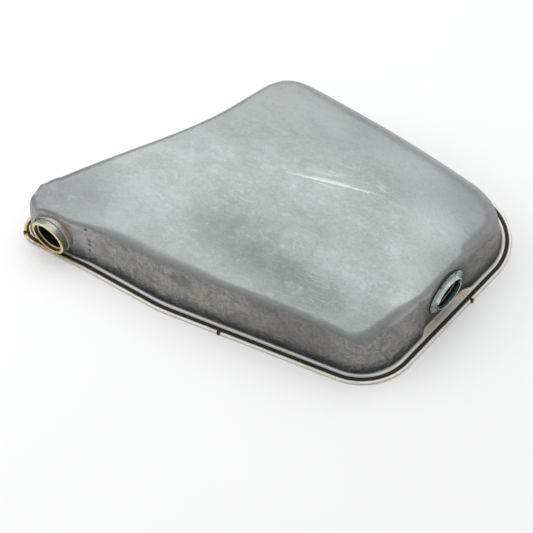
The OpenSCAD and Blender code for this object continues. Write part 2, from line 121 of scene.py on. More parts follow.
def crown_normal(x, y):
    h = 0.01
    n = np.column_stack([-(crown(x + h, y) - crown(x - h, y)) / (2 * h),
                         -(crown(x, y + h) - crown(x, y - h)) / (2 * h), np.ones(len(x))])
    return n / np.linalg.norm(n, axis=1)[:, None]


def outline(n):
    """n evenly spaced rim points, as rows of x, y and the outward normal's x, y."""
    count = len(CORNERS)
    corners = []
    for i, (x, y, radius) in enumerate(CORNERS):
        p = np.array((x, y), float)
        before = np.array(CORNERS[i - 1][:2], float)
        after = np.array(CORNERS[(i + 1) % count][:2], float)
        d_in, d_out = unit(p - before), unit(after - p)
        turn = math.atan2(d_in[0] * d_out[1] - d_in[1] * d_out[0], d_in @ d_out)
        corners.append((p, d_in, d_out, turn, radius, radius * math.tan(abs(turn) / 2)))
    rows = []
    for i, (p, d_in, d_out, turn, radius, tangent) in enumerate(corners):
        start = p - d_in * tangent
        centre = start + math.copysign(radius, turn) * np.array([-d_in[1], d_in[0]])
        arm = start - centre
        steps = max(6, int(abs(turn) * radius / 0.7))
        for j in range(steps + 1):
            t = turn * j / steps
            c, s = math.cos(t), math.sin(t)
            rows.append((centre[0] + arm[0] * c - arm[1] * s, centre[1] + arm[0] * s + arm[1] * c,
                         d_in[0] * s + d_in[1] * c, -(d_in[0] * c - d_in[1] * s)))
        following = corners[(i + 1) % count]
        start, end = p + d_out * tangent, following[0] - following[1] * following[5]
        steps = max(2, int(np.linalg.norm(end - start) / 0.9))
        for j in range(1, steps):
            q = start + (end - start) * j / steps
            rows.append((q[0], q[1], d_out[1], -d_out[0]))
    closed = np.array(rows + rows[:1])
    lengths = np.linalg.norm(np.diff(closed[:, :2], axis=0), axis=1)
    travel = np.concatenate([[0], np.cumsum(lengths)])
    even = np.linspace(0, travel[-1], n, endpoint=False)
    rim = np.stack([np.interp(even, travel, closed[:, i]) for i in range(4)], 1)
    rim[:, 2:] /= np.linalg.norm(rim[:, 2:], axis=1)[:, None]
    return rim


def ease(t):
    t = np.clip(t, 0, 1)
    return t * t * (3 - 2 * t)


def rim_value(rim, stations, spots):
    """Value at each rim point: eased between stations by direction, then changed near spots."""
    angle = np.degrees(np.arctan2(rim[:, 3], rim[:, 2]))
    table = np.array(stations, float)
    angle = angle - 360 * np.floor((angle - table[0, 0]) / 360)
    k = np.searchsorted(table[:, 0], angle + 1e-9, side="right") - 1
    next_angle = np.append(table[1:, 0], table[0, 0] + 360)
    next_value = np.append(table[1:, 1], table[0, 1])
    share = ease((angle - table[k, 0]) / (next_angle[k] - table[k, 0]))
    value = table[k, 1] + (next_value[k] - table[k, 1]) * share
    for centre, inner, outer, target in spots:
        r = np.hypot(rim[:, 0] - centre[0], rim[:, 1] - centre[1])
        value = value + (target - value) * (1 - ease((r - inner) / (outer - inner)))
    return value


def wall_layout(rim):
    """Foot inset, draft, shoulder inset and the shoulder's direction from each rim point."""
    foot = rim_value(rim, FOOT_IN, FOOT_SPOTS)
    draft = rim_value(rim, DRAFT, DRAFT_SPOTS)
    shoulder = rim_value(rim, SHOULDER_IN, SHOULDER_SPOTS)
    # a set-back, almost upright stretch of the +X wall round the ring
    along = rim[:, :2] @ unit([CORNERS[1][0] - CORNERS[0][0], CORNERS[1][1] - CORNERS[0][1]])
    end = 1 - ease((along - 66) / 14)
    dish = np.where(rim[:, 0] < 150, 0, ease((along + 14) / 15) * end)
    foot = foot + (18.3 - 0.008 * along - foot) * dish
    draft = draft + (0.6 - draft) * dish
    wide = np.where(rim[:, 0] < 150, 0, ease((along + 45) / 45) * end)
    shoulder = shoulder + (27.5 - shoulder) * wide
    from_nose = np.hypot(rim[:, 0] - NOSE_AT[0], rim[:, 1] - NOSE_AT[1])
    pull = (1 - ease((from_nose - 33) / 64))[:, None]
    to_nose = NOSE - rim[:, :2]
    to_nose /= np.linalg.norm(to_nose, axis=1)[:, None]
    lean = to_nose * pull - rim[:, 2:] * (1 - pull)
    lean /= np.linalg.norm(lean, axis=1)[:, None]
    return foot, draft, shoulder, lean


def local(origin, n):
    """Local axes (origin, x, y, z) with z along n; on a wall x is down and y runs along it."""
    n = unit(n)
    if abs(n[2]) > 0.9:
        return np.array(origin, float), np.array([1.0, 0, 0]), np.array([0, 1.0, 0]), n
    return np.array(origin, float), np.array([0, 0, -1.0]), np.array([-n[1], n[0], 0.0]), n


def upright(x, y):
    return local((x, y, 0.0), (0, 0, 1))


def place(axes, points):
    P = np.asarray(points, float).reshape(-1, 3)
    return axes[0] + P[:, :1] * axes[1] + P[:, 1:2] * axes[2] + P[:, 2:3] * axes[3]


RING_AXES, NECK_AXES = local(RING_AT, RING_OUT), local(MOUTH_AT, NECK_OUT)


def ring_holes():
    for k in range(6):
        a = math.radians(60 * k + 30)
        yield place(RING_AXES, [(RING_PCD / 2 * math.cos(a), RING_PCD / 2 * math.sin(a), 0)])[0]


def wave(P, size, seed):
    """Smooth wandering value of about -1 to 1 over points in mm."""
    rng = np.random.default_rng(seed)
    v = np.zeros(len(P))
    for _ in range(7):
        d = rng.normal(size=3)
        d /= np.linalg.norm(d)
        v += np.sin(P @ d * (2 * np.pi / (size * rng.uniform(0.7, 1.6))) + rng.uniform(0, 6.28))
    return v / 3.2


# ---------------------------------------------------------------- mesh helpers
def link_object(name, mesh):
    o = bpy.data.objects.new(name, mesh)
    COLL.objects.link(o)
    return o


def build(name, V, F, smooth=35.0):
    me = bpy.data.meshes.new(name)
    me.from_pydata((np.asarray(V, float) * MM).tolist(), [], [list(map(int, f)) for f in F])
    me.validate()
    bm = bmesh.new()
    bm.from_mesh(me)
    bmesh.ops.remove_doubles(bm, verts=bm.verts, dist=2e-6)
    bmesh.ops.dissolve_degenerate(bm, edges=bm.edges, dist=1e-6)
    bmesh.ops.recalc_face_normals(bm, faces=bm.faces)
    bm.to_mesh(me)
    bm.free()
    o = link_object(name, me)
    shade(o, smooth)
    return o


def shade(o, angle):
    """Smooth shading, with edges sharper than angle degrees kept crisp."""
    o.data.polygons.foreach_set("use_smooth", [True] * len(o.data.polygons))
    o.data.set_sharp_from_angle(angle=math.radians(angle))
    o.data.update()


def discard(objects):
    for o in objects:
        mesh = o.data
        bpy.data.objects.remove(o)
        bpy.data.meshes.remove(mesh)


def band(first, second):
    """Quads between two equal, closed rows of vertex numbers."""
    n = len(first)
    for j in range(n):
        i = (j + 1) % n
        yield (first[j], first[i], second[i], second[j])


def sweep(name, rings, smooth=35.0, capped=False):
    """Skin over equal loops of points; capped at both ends, or else joined last to first."""
    n, m = len(rings[0]), len(rings)
    rows = [range(r * n, r * n + n) for r in range(m)]
    F = []
    for r in range(m - 1 if capped else m):
        F.extend(band(rows[r], rows[(r + 1) % m]))
    if capped:
        F += [tuple(rows[0]), tuple(rows[-1])]
    return build(name, np.vstack(rings), F, smooth)


def rounded(points, radii, steps=4):
    """Closed profile with each corner rounded by its radius."""
    P = [np.array(p, float) for p in points]
    out = []
    for i, b in enumerate(P):
        if radii[i] <= 0:
            out.append(b)
            continue
        u, v = P[i - 1] - b, P[(i + 1) % len(P)] - b
        lu, lv = np.linalg.norm(u), np.linalg.norm(v)
        u, v = u / lu, v / lv
        angle = math.acos(max(-1, min(1, float(u @ v))))
        t = min(radii[i] / math.tan(angle / 2), 0.48 * lu, 0.48 * lv)
        p0, p1 = b + u * t, b + v * t
        for k in range(steps + 1):
            w = k / steps
            out.append((1 - w) ** 2 * p0 + 2 * w * (1 - w) * b + w * w * p1)
    return out


def angles(n):
    return np.linspace(0, 2 * np.pi, n, endpoint=False)


def circle(r, z, n):
    """n points at height z; r is a number or one radius per point."""
    t = angles(n)
    return np.stack([r * np.cos(t), r * np.sin(t), np.full(n, z)], 1)


def lathe(name, axes, profile, n=128, jitter=None):
    """Closed profile of (radius, z) turned about the local axis."""
    rings = []
    for r, z in profile:
        P = circle(r, z, n)
        if jitter is not None:
            P = jitter(P, r)
        rings.append(place(axes, P))
    return sweep(name, rings)


def turned(name, centres, profile, n, smooth):
    """One mesh of upright turned parts; profile points on the axis become single vertices."""
    t = angles(n)
    V, F = [], []
    for x, y in centres:
        rows = []
        for r, z in profile:
            if r < 1e-6:
                rows.append([len(V)] * n)
                V.append([x, y, z])
            else:
                rows.append(list(range(len(V), len(V) + n)))
                V.extend(np.column_stack([x + r * np.cos(t), y + r * np.sin(t),
                                          np.full(n, z)]).tolist())
        for a, b in zip(rows, rows[1:] + rows[:1]):
            for quad in band(a, b):
                face = list(dict.fromkeys(quad))
                if len(face) > 2:
                    F.append(face)
    return build(name, V, F, smooth)


def cylinder(axes, r, z0, z1, n, r1=None):
    """Cutter from radius r at z0 to r1 (or r) at z1."""
    ends = ((r, z0), (r if r1 is None else r1, z1))
    return sweep("cutter", [place(axes, circle(q, z, n)) for q, z in ends], capped=True)


def block(axes, lo, hi):
    (x0, y0, z0), (x1, y1, z1) = lo, hi
    ends = [place(axes, [(x0, y0, z), (x1, y0, z), (x1, y1, z), (x0, y1, z)]) for z in (z0, z1)]
    return sweep("cutter", ends, capped=True)


def thread(axes, r, z0, z1, pitch, depth, n):
    """Cutter with a helical ridge, so that the bore it leaves carries a thread."""
    rows = int((z1 - z0) / pitch * 8)
    t = angles(n)
    rings = []
    for k in range(rows + 1):
        z = z0 + (z1 - z0) * k / rows
        phase = (z / pitch - t / (2 * np.pi)) % 1.0
        ridge = depth * (1 - np.abs(2 * phase - 1)) * (1 if 0 < k < rows else 0)
        rings.append(place(axes, circle(r + ridge, z, n)))
    return sweep("cutter", rings, capped=True)


def cut(o, cutters, smooth=35.0):
    bpy.context.view_layer.update()
    for c in cutters:
        m = o.modifiers.new("cut", "BOOLEAN")
        m.operation = "DIFFERENCE"
        m.object = c
        try:
            m.solver = "MANIFOLD"
        except TypeError:           # a Blender build without the manifold solver
            m.solver = "EXACT"
    depsgraph = bpy.context.evaluated_depsgraph_get()
    me = bpy.data.meshes.new_from_object(o.evaluated_get(depsgraph))
    o.modifiers.clear()
    old = o.data
    o.data = me
    me.name = o.name
    bpy.data.meshes.remove(old)
    discard(cutters)
    shade(o, smooth)
    return o


# ---------------------------------------------------------------- material helpers
class Field:
    """A socket of a node material; arithmetic on it adds Math nodes."""

    def __init__(self, mat, socket):
        self.mat, self.socket = mat, socket

    def __add__(self, other):
        return self.mat.math("ADD", self, other)

    def __radd__(self, number):
        return self.mat.math("ADD", number, self)

    def __sub__(self, number):
        return self + -number

    def __mul__(self, other):
        return self.mat.math("MULTIPLY", self, other)

    def __abs__(self):
        return self.mat.math("ABSOLUTE", self)

    def sqrt(self):
        return self.mat.math("SQRT", self)

    def sine(self):
        return self.mat.math("SINE", self)

    def max(self, other):
        return self.mat.math("MAXIMUM", self, other)

    def inverse(self):
        return 1.0 + self * -1.0

    def step(self, lo, hi, out0=0.0, out1=1.0):
        """Smooth step from out0 at lo to out1 at hi."""
        n = self.mat.new("ShaderNodeMapRange", interpolation_type="SMOOTHSTEP")
        self.mat.put(n.inputs["Value"], self)
        for i, value in enumerate((lo, hi, out0, out1), 1):
            n.inputs[i].default_value = value
        return Field(self.mat, n.outputs[0])

    def fade(self, lo, hi, full=1.0):
        """Smooth step from full at lo down to 0 at hi."""
        return self.step(lo, hi, full, 0.0)


class Mat:
    """A node material whose coordinates are millimetres in the object's frame."""

    def __init__(self, name):
        self.material = bpy.data.materials.new(name)
        self.material.use_nodes = True
        self.tree = self.material.node_tree
        self.tree.nodes.clear()
        out = self.new("ShaderNodeOutputMaterial")
        self.bsdf = self.new("ShaderNodeBsdfPrincipled")
        self.tree.links.new(self.bsdf.outputs[0], out.inputs[0])
        coords = self.new("ShaderNodeTexCoord")
        scale = self.new("ShaderNodeVectorMath", operation="SCALE")
        scale.inputs[3].default_value = 1000.0
        self.tree.links.new(coords.outputs["Object"], scale.inputs[0])
        self.mm = Field(self, scale.outputs[0])

    def new(self, kind, **props):
        n = self.tree.nodes.new(kind)
        for k, v in props.items():
            setattr(n, k, v)
        return n

    def put(self, socket, value):
        if isinstance(value, Field):
            self.tree.links.new(value.socket, socket)
        elif socket.type == "RGBA":
            socket.default_value = [*value, 1.0]
        else:
            socket.default_value = value

    def split(self, vector):
        n = self.new("ShaderNodeSeparateXYZ")
        self.put(n.inputs[0], vector)
        return [Field(self, s) for s in n.outputs]

    @cached_property
    def xyz(self):
        return self.split(self.mm)

    @cached_property
    def normal(self):
        geometry = self.new("ShaderNodeNewGeometry")
        return self.split(Field(self, geometry.outputs["Normal"]))

    def math(self, op, a, b=0.0):
        n = self.new("ShaderNodeMath", operation=op)
        self.put(n.inputs[0], a)
        self.put(n.inputs[1], b)
        return Field(self, n.outputs[0])

    def noise(self, scale, detail, rough=0.5, dist=0.0, rot=(0, 0, 0), shift=(0, 0, 0)):
        """Noise over the mm coordinates scaled, turned by rot degrees and shifted."""
        mapping = self.new("ShaderNodeMapping")
        self.put(mapping.inputs[0], self.mm)
        mapping.inputs["Location"].default_value = shift
        mapping.inputs["Rotation"].default_value = [math.radians(a) for a in rot]
        mapping.inputs["Scale"].default_value = scale
        n = self.new("ShaderNodeTexNoise")
        self.put(n.inputs["Vector"], Field(self, mapping.outputs[0]))
        for key, value in (("Scale", 1.0), ("Detail", detail), ("Roughness", rough),
                           ("Distortion", dist)):
            n.inputs[key].default_value = value
        return Field(self, n.outputs[0])

    def mottle(self, broad, fine, dist=0.4):
        """A broad and a fine noise, the pair most of the metals are coloured by."""
        return (self.noise(broad, detail=4, rough=0.6, dist=dist),
                self.noise(fine, detail=4, rough=0.65, shift=(5, 2, 9)))

    def mix(self, factor, below, above):
        n = self.new("ShaderNodeMix", data_type="RGBA")
        n.clamp_factor = True
        for i, value in ((0, factor), (6, below), (7, above)):
            self.put(n.inputs[i], value)
        return Field(self, n.outputs[2])

    def tones(self, field, lo, hi, colour0, colour1):
        """colour0 where field is below lo, colour1 above hi."""
        return self.mix(field.step(lo, hi), colour0, colour1)

    def layers(self, colour, table):
        """Lay colours over one another: field, its step lo and hi, amount, colour."""
        for field, lo, hi, amount, above in table:
            colour = self.mix(field.step(lo, hi) * amount, colour, above)
        return colour

    def distance(self, centre):
        n = self.new("ShaderNodeVectorMath", operation="DISTANCE")
        self.put(n.inputs[0], self.mm)
        n.inputs[1].default_value = [float(v) for v in centre]
        return Field(self, n.outputs["Value"])

    def spot(self, centre, r):
        """1 at a point in mm, falling to 0 at radius r."""
        return self.distance(centre).fade(0.0, r)

    def blob(self, centre, rx, ry, rot, low):
        """Soft ellipse seen from above: 1 inside the share low of its radius, 0 at the edge."""
        x, y, _ = self.xyz
        a = math.radians(rot)
        dx, dy = x - centre[0], y - centre[1]
        u = (dx * math.cos(a) + dy * math.sin(a)) * (1.0 / rx)
        v = (dx * -math.sin(a) + dy * math.cos(a)) * (1.0 / ry)
        return (u * u + v * v).sqrt().fade(low, 1.0)

    def scratch(self, start, end, width, bend):
        """Line from start to end in plan, bowed by bend and fading to its ends."""
        x, y, _ = self.xyz
        a, b = np.array(start, float), np.array(end, float)
        length = float(np.linalg.norm(b - a))
        d = (b - a) / length
        dx, dy = x - a[0], y - a[1]
        s = (dx * d[0] + dy * d[1]) * (1.0 / length)
        off = dx * -d[1] + dy * d[0]
        if bend:
            off = off + s * s.inverse() * (bend * 4)
        side = abs(off).fade(width * 0.2, width)
        return side * (s.step(0.0, 0.3) * s.fade(0.75, 1.0))

    def bump(self, height, strength, dist):
        n = self.new("ShaderNodeBump")
        n.inputs["Strength"].default_value = strength
        n.inputs["Distance"].default_value = dist
        self.put(n.inputs["Height"], height)
        return Field(self, n.outputs[0])

    def done(self, colour, rough, metal, normal=None):
        self.put(self.bsdf.inputs["Base Color"], colour)
        self.put(self.bsdf.inputs["Roughness"], rough)
        self.put(self.bsdf.inputs["Metallic"], metal)
        if normal is not None:
            self.put(self.bsdf.inputs["Normal"], normal)
        return self.material


# ---------------------------------------------------------------- shell material
# lighter and darker patches on the crown: centre, x radius, y radius, turn in degrees, amount, colour
CROWN_PATCHES = [
    ((24, -58), 140, 66, 8, 0.75, (0.225, 0.255, 0.24)),
    ((56, -110), 160, 46, -9, 0.9, (0.155, 0.178, 0.168)),
    ((-22, -88), 74, 46, 0, 0.4, (0.17, 0.192, 0.182)),
    ((-112, -78), 54, 34, -12, 0.3, (0.34, 0.38, 0.385)),
    ((185, -42), 62, 46, -60, 0.75, (0.44, 0.48, 0.47)),
    ((193, 20), 64, 52, 0, 0.9, (0.56, 0.61, 0.6)),
    ((190, -84), 34, 26, 30, 0.8, (0.47, 0.51, 0.5)),
    ((150, 88), 110, 62, -28, 0.8, (0.49, 0.525, 0.54)),
    ((236, 62), 50, 60, 0, 0.6, (0.46, 0.48, 0.49)),
    ((-20, 112), 130, 66, 10, 0.75, (0.46, 0.48, 0.465)),
    ((-205, -98), 84, 52, 20, 0.75, (0.215, 0.222, 0.225)),
    ((215, 75), 60, 50, 0, 0.5, (0.4, 0.43, 0.43)),
    ((94, -126), 58, 17, 9, 0.6, (0.19, 0.213, 0.203)),
    ((16, 98), 70, 24, -20, 0.55, (0.43, 0.46, 0.47)),
]
# families of fine scratches: turn in degrees, fineness across
HAIRLINES = [(14, 0.9), (-28, 0.75), (62, 0.8), (96, 0.7), (38, 0.6), (-60, 0.95)]
# single scratches: start, end, width, bend, strength
SCRATCHES = [
    ((2, 2), (126, 24.8), 1.5, 1.3, 0.62), ((30, 8), (92, 19), 2.4, 0.0, 0.4),
    ((20, 16), (76, 27), 3.6, 2.0, 0.2), ((30, 21), (84, 32), 1.2, 1.0, 0.22),
    ((44, 4), (70, 4), 0.8, -2.0, 0.4), ((46, 40), (84, 41), 1.6, 0.0, 0.16),
    ((106, 34), (124, 29), 2.4, 0.0, 0.28), ((104, 40), (122, 34), 1.4, 0.0, 0.22),
    ((128, 20), (158, 21), 1.2, 0.0, 0.2), ((-118, -72), (-102, -80), 1.4, 0.0, 0.16),
    ((100, 60), (130, 68), 1.2, 0.0, 0.1), ((60, 64), (98, 58), 1.6, 0.0, 0.1),
]
# centre, radius
STRAW_SPOTS = [((231.5, -6.0, 3.0), 6.5), ((233.5, 4.0, 3.0), 5.0), ((219.5, -48.5, 3.0), 4.0)]
RUST_DOTS = [((-65.4, 74.6, 101.9), 1.5), ((-87, 37, 102.1), 1.2), ((-86, 39, 102.1), 0.8)]


class ShellPaint(Mat):
    """The weathered skin of the dome: crown, walls, flange, local marks and painted shade."""

    def __init__(self, name):
        super().__init__(name)
        noise = self.noise
        self.big = noise((0.011, 0.014, 0.012), detail=4, rough=0.55, dist=0.6)
        self.mid = noise((0.035, 0.045, 0.04), detail=5, rough=0.6, dist=0.8, rot=(0, 0, 20))
        self.fine = noise((0.22, 0.3, 0.25), detail=5, rough=0.65, rot=(0, 0, -15))
        self.grain = noise((1.3,) * 3, detail=3, rough=0.6)
        self.speck = noise((0.42,) * 3, detail=4, rough=0.75, shift=(31, 7, 3))
        self.smear = noise((0.04, 0.085, 0.06), detail=6, rough=0.64, dist=1.4,
                           rot=(0, 0, 24), shift=(2, 19, 7))
        self.brush = noise((0.075, 0.075, 0.1), detail=7, rough=0.74, dist=1.6,
                           rot=(0, 25, 0), shift=(3, 5, 1))
        self.streak = noise((0.34, 0.34, 0.08), detail=5, rough=0.7, dist=0.5, rot=(12, 0, 0))

    def hairlines(self):
        """Fine criss-cross scratches, patchy and stronger towards +X."""
        lines = [self.noise((0.035, 1.1 * fineness, 0.2), detail=2, dist=0.25, rot=(0, 0, rot),
                            shift=(k * 31.0, k * 17.0, 0)).step(0.62, 0.7)
                 for k, (rot, fineness) in enumerate(HAIRLINES)]
        patches = self.noise((0.02,) * 3, detail=3, shift=(9, 4, 2)).step(0.4, 0.6, 0.25, 1.0)
        return reduce(Field.max, lines) * (patches * self.xyz[0].step(0, 190, 0.4, 1.5))

    def scratches(self):
        lines = [self.scratch(*line) * strength for *line, strength in SCRATCHES]
        return reduce(Field.max, lines) * self.fine.step(0.3, 0.5, 0.6, 1.0)

    def crown_colour(self, hair, scratches):
        """Grey-green to blue-grey patina."""
        top = self.tones(self.big, 0.36, 0.64, (0.30, 0.33, 0.315), (0.325, 0.365, 0.365))
        top = self.layers(top, [(self.mid, 0.42, 0.66, 0.6, (0.335, 0.35, 0.335)),
                                (self.fine, 0.45, 0.72, 0.35, (0.4, 0.425, 0.41))])
        for centre, rx, ry, rot, amount, tint in CROWN_PATCHES:
            top = self.mix(self.blob(centre, rx, ry, rot, low=0.05) * amount, top, tint)
        top = self.mix(hair * 0.24, top, (0.5, 0.53, 0.515))
        fleck = self.xyz[0].step(20, 200, 0.24, 0.38)
        top = self.layers(top, [(self.speck, 0.52, 0.72, fleck, (0.47, 0.5, 0.485)),
                                (self.speck, 0.48, 0.3, fleck, (0.19, 0.205, 0.2)),
                                (self.smear, 0.54, 0.72, 0.4, (0.44, 0.47, 0.46)),
                                (self.smear, 0.47, 0.3, 0.24, (0.22, 0.235, 0.23))])
        return self.mix(scratches, top, (0.6, 0.64, 0.615))

    def wall_colour(self):
        """Brown-grey, mottled and streaked, with painted shade going blue-black towards the foot."""
        x, _, z = self.xyz
        brush, mid, mix = self.brush, self.mid, self.mix
        wall = self.tones(brush, 0.3, 0.7, (0.17, 0.162, 0.15), (0.345, 0.33, 0.305))
        wall = self.layers(wall, [(self.streak, 0.46, 0.7, 0.34, (0.48, 0.46, 0.43)),
                                  (self.streak, 0.48, 0.28, 0.4, (0.11, 0.108, 0.105)),
                                  (self.speck, 0.54, 0.74, 0.26, (0.48, 0.47, 0.45)),
                                  (self.speck, 0.46, 0.26, 0.26, (0.09, 0.09, 0.09)),
                                  (mid, 0.48, 0.64, 0.62, (0.13, 0.135, 0.145))])
        # darker stretches towards +X, a pale one at the nose
        wall = mix(x.step(10, 90) * x.fade(115, 170, full=0.5), wall, (0.11, 0.105, 0.098))
        wall = mix(x.step(205, 245, 0.0, 0.4), wall, (0.1, 0.096, 0.09))
        wall = mix(x.step(120, 230, 0.0, 0.45), wall,
                   self.tones(brush, 0.4, 0.6, (0.15, 0.142, 0.13), (0.27, 0.255, 0.23)))
        wall = mix(x.fade(-205, -125, full=0.8), wall,
                   self.tones(brush, 0.35, 0.65, (0.32, 0.315, 0.325), (0.5, 0.495, 0.51)))
        # painted shade: blue-black towards the foot of the wall, with a ragged top edge
        ragged_z = z + ((brush - 0.5) * 34 + (mid - 0.5) * 14)
        return mix(ragged_z.fade(4, 25, full=0.92), wall, (0.03, 0.04, 0.052))

    def flange_colour(self):
        """Cream and pale grey, with a straw tint here and there."""
        strip = self.tones(self.mid, 0.4, 0.65, (0.6, 0.585, 0.545), (0.68, 0.62, 0.52))
        nose_end = self.xyz[0].step(-120, -230)
        strip = self.mix(nose_end * self.fine.step(0.4, 0.6), strip, (0.55, 0.34, 0.1))
        for centre, r in STRAW_SPOTS:
            strip = self.mix(self.spot(centre, r) * self.fine.step(0.3, 0.5), strip,
                             (0.8, 0.43, 0.04))
        return strip

    def painted_shoulder_shade(self, col, away, lit_facet):
        """Painted shade on the shoulder roll: a lavender-brown band above the crease and a darker,
        broken crease line, mostly on faces not turned to +Y.
        """
        nz = self.normal[2]
        front = 1.0 + away * -0.9
        # painted shade: a darker lavender-brown band where the shoulder rolls over
        shoulder_band_shade = front * nz.step(0.45, 0.78) * nz.fade(0.84, 0.985)
        col = self.mix(shoulder_band_shade * self.brush.step(0.3, 0.7, 0.2, 0.62), col, (0.27, 0.265, 0.275))
        # painted shade: a dark, broken line at the crease, left out on the lit facet
        crease = front * nz.step(0.36, 0.56) * nz.fade(0.6, 0.78) * lit_facet.inverse()
        return self.mix(crease * self.smear.step(0.3, 0.7, 0.08, 0.4), col,
                        (0.12, 0.115, 0.112))

    def marks(self, col, pits):
        """Rust dots, painted shade in the pits, a painted shadow beside and below the neck and painted
        shade in the dish round the ring.
        """
        for centre, r in RUST_DOTS:
            col = self.mix(self.spot(centre, r) * 0.75, col, (0.55, 0.22, 0.07))
        # painted shade in the punched pits
        for centre in pits:
            col = self.mix(self.spot(centre, 3.4) * 0.9, col, (0.02, 0.018, 0.018))
        # painted shadow of the filler neck, to its +X side and below
        col = self.mix(self.spot((-190, -146, 18), 22) * 0.6, col, (0.05, 0.055, 0.06))
        # painted shade in the dish round the ring
        ring_dish_shade = self.distance((221.5, -30.9, 38.2)).fade(31, 44) * self.normal[2].fade(0.35, 0.7)
        return self.mix(ring_dish_shade * 0.62, col, (0.05, 0.048, 0.045))


def shell_material(pits):
    m = ShellPaint("raw_steel")
    x, y, z = m.xyz
    nx, ny, nz = m.normal
    brush, mid, fine = m.brush, m.mid, m.fine
    hair, scratches = m.hairlines(), m.scratches()
    # lit facet: painted light on the flat of the shoulder at the +X -Y corner, where the crown colour
    # reaches further down and the crease shade is left out
    lit_facet = m.blob((203, -96), 36, 26, rot=35, low=0.4).max(
        m.blob((220, -66), 28, 18, rot=60, low=0.3)) * z.step(46, 60)
    # up: where the crown colour takes over; away: faces turned to +Y
    ragged = (mid - 0.5) * 0.3 + (m.smear - 0.5) * 0.35
    up = ((nz + lit_facet * 0.2) + ragged).step(0.3, 0.74)
    away = (ny * 0.76 + nx * -0.35).step(0.12, 0.4)
    up = up.max(away * z.step(20, 60))
    col = m.mix(up, m.wall_colour(), m.crown_colour(hair, scratches))
    col = m.mix(away * nz.fade(0.5, 0.95, full=0.6), col,
                m.tones(brush, 0.35, 0.65, (0.34, 0.335, 0.345), (0.44, 0.445, 0.455)))
    col = m.painted_shoulder_shade(col, away, lit_facet)
    # the nose: one lavender-grey skin from crown to wall
    nose = x.fade(-262, -196, full=0.85) * y.step(-150, -110, 0.4, 1.0)
    col = m.mix(nose, col, m.tones(brush, 0.35, 0.65, (0.2, 0.2, 0.207), (0.29, 0.294, 0.3)))
    col = m.mix(z.fade(3.5, 4.1) * nz.step(0.7, 0.93), col, m.flange_colour())
    col = m.marks(col, pits)
    rough = mid.step(0.35, 0.7) * 0.12 + (fine.step(0.4, 0.7) * -0.06 + 0.4)
    rough = rough + scratches * -0.12
    # relief: grain and brush marks (walls only), less the scratches
    height = m.grain * 0.25 + (fine * 0.4 + brush * (up.inverse() * 0.5))
    height = height + (hair + scratches) * -0.45
    return m.done(col, rough, metal=0.62, normal=m.bump(height, strength=0.22, dist=0.0006))


# ---------------------------------------------------------------- plain metals
def plain(name, low, high, fleck, rough, metal, scale, stretch=(1, 1, 1), bump=0.15):
    """Two tones by a broad noise, flecked by a fine one, with a fine bump."""
    m = Mat(name)
    broad, fine = m.mottle([scale * s for s in stretch], [scale * 5 * s for s in stretch])
    grain = m.noise((2.2,) * 3, detail=2)
    col = m.layers(m.tones(broad, 0.38, 0.64, low, high), [(fine, 0.48, 0.72, 0.5, fleck)])
    return m.done(col, rough + broad.step(0.3, 0.7) * 0.14, metal,
                  m.bump(fine * 0.7 + grain * 0.3, bump, dist=0.0004))


M_PAN = plain("base_steel", (0.42, 0.42, 0.4), (0.5, 0.49, 0.46), (0.34, 0.33, 0.31),
              rough=0.42, metal=0.8, scale=0.03)
M_SEALER = plain("sealer", (0.006, 0.008, 0.009), (0.01, 0.012, 0.013), (0.018, 0.019, 0.02),
                 rough=0.62, metal=0.0, scale=0.15, bump=0.4)
M_RIVET = plain("rivet", (0.05, 0.032, 0.018), (0.085, 0.06, 0.03), (0.12, 0.1, 0.05),
                rough=0.5, metal=0.7, scale=0.6, bump=0.3)
M_LIP = plain("neck_lip", (0.78, 0.68, 0.44), (0.85, 0.78, 0.58), (0.7, 0.52, 0.22),
              rough=0.28, metal=0.7, scale=0.15)
M_WELD = plain("weld_steel", (0.36, 0.33, 0.29), (0.46, 0.41, 0.34), (0.27, 0.2, 0.18),
               rough=0.4, metal=0.7, scale=0.25, bump=0.35)
M_INNER = plain("inner_steel", (0.2, 0.2, 0.195), (0.28, 0.275, 0.26), (0.36, 0.34, 0.31),
                rough=0.5, metal=0.8, scale=0.06, stretch=(1, 1, 2))
M_BACK = plain("second_ring", (0.34, 0.34, 0.32), (0.5, 0.49, 0.46), (0.56, 0.52, 0.44),
               rough=0.34, metal=0.8, scale=0.2)
M_FIT = plain("fitting_steel", (0.5, 0.49, 0.44), (0.6, 0.58, 0.52), (0.68, 0.64, 0.5),
              rough=0.32, metal=0.85, scale=0.3, stretch=(1, 1, 4))


def finish_piece(o, mat, node):
    """Give a piece its material, hang it on the root body and hide the CAD node it stands for."""
    o.data.materials.clear()
    o.data.materials.append(mat)
    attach(o, "root")
    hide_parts(node)


# ---------------------------------------------------------------- the dome
FLANGE_RINGS = 4
FOOT_R = 3.0                        # radius between flange and wall
# where pits are wanted on the -Y wall: x, z
PIT_AIMS = [(-175.2, 60.0), (-173.0, 43.3), (-172.5, 34.2), (-172.9, 24.2)]


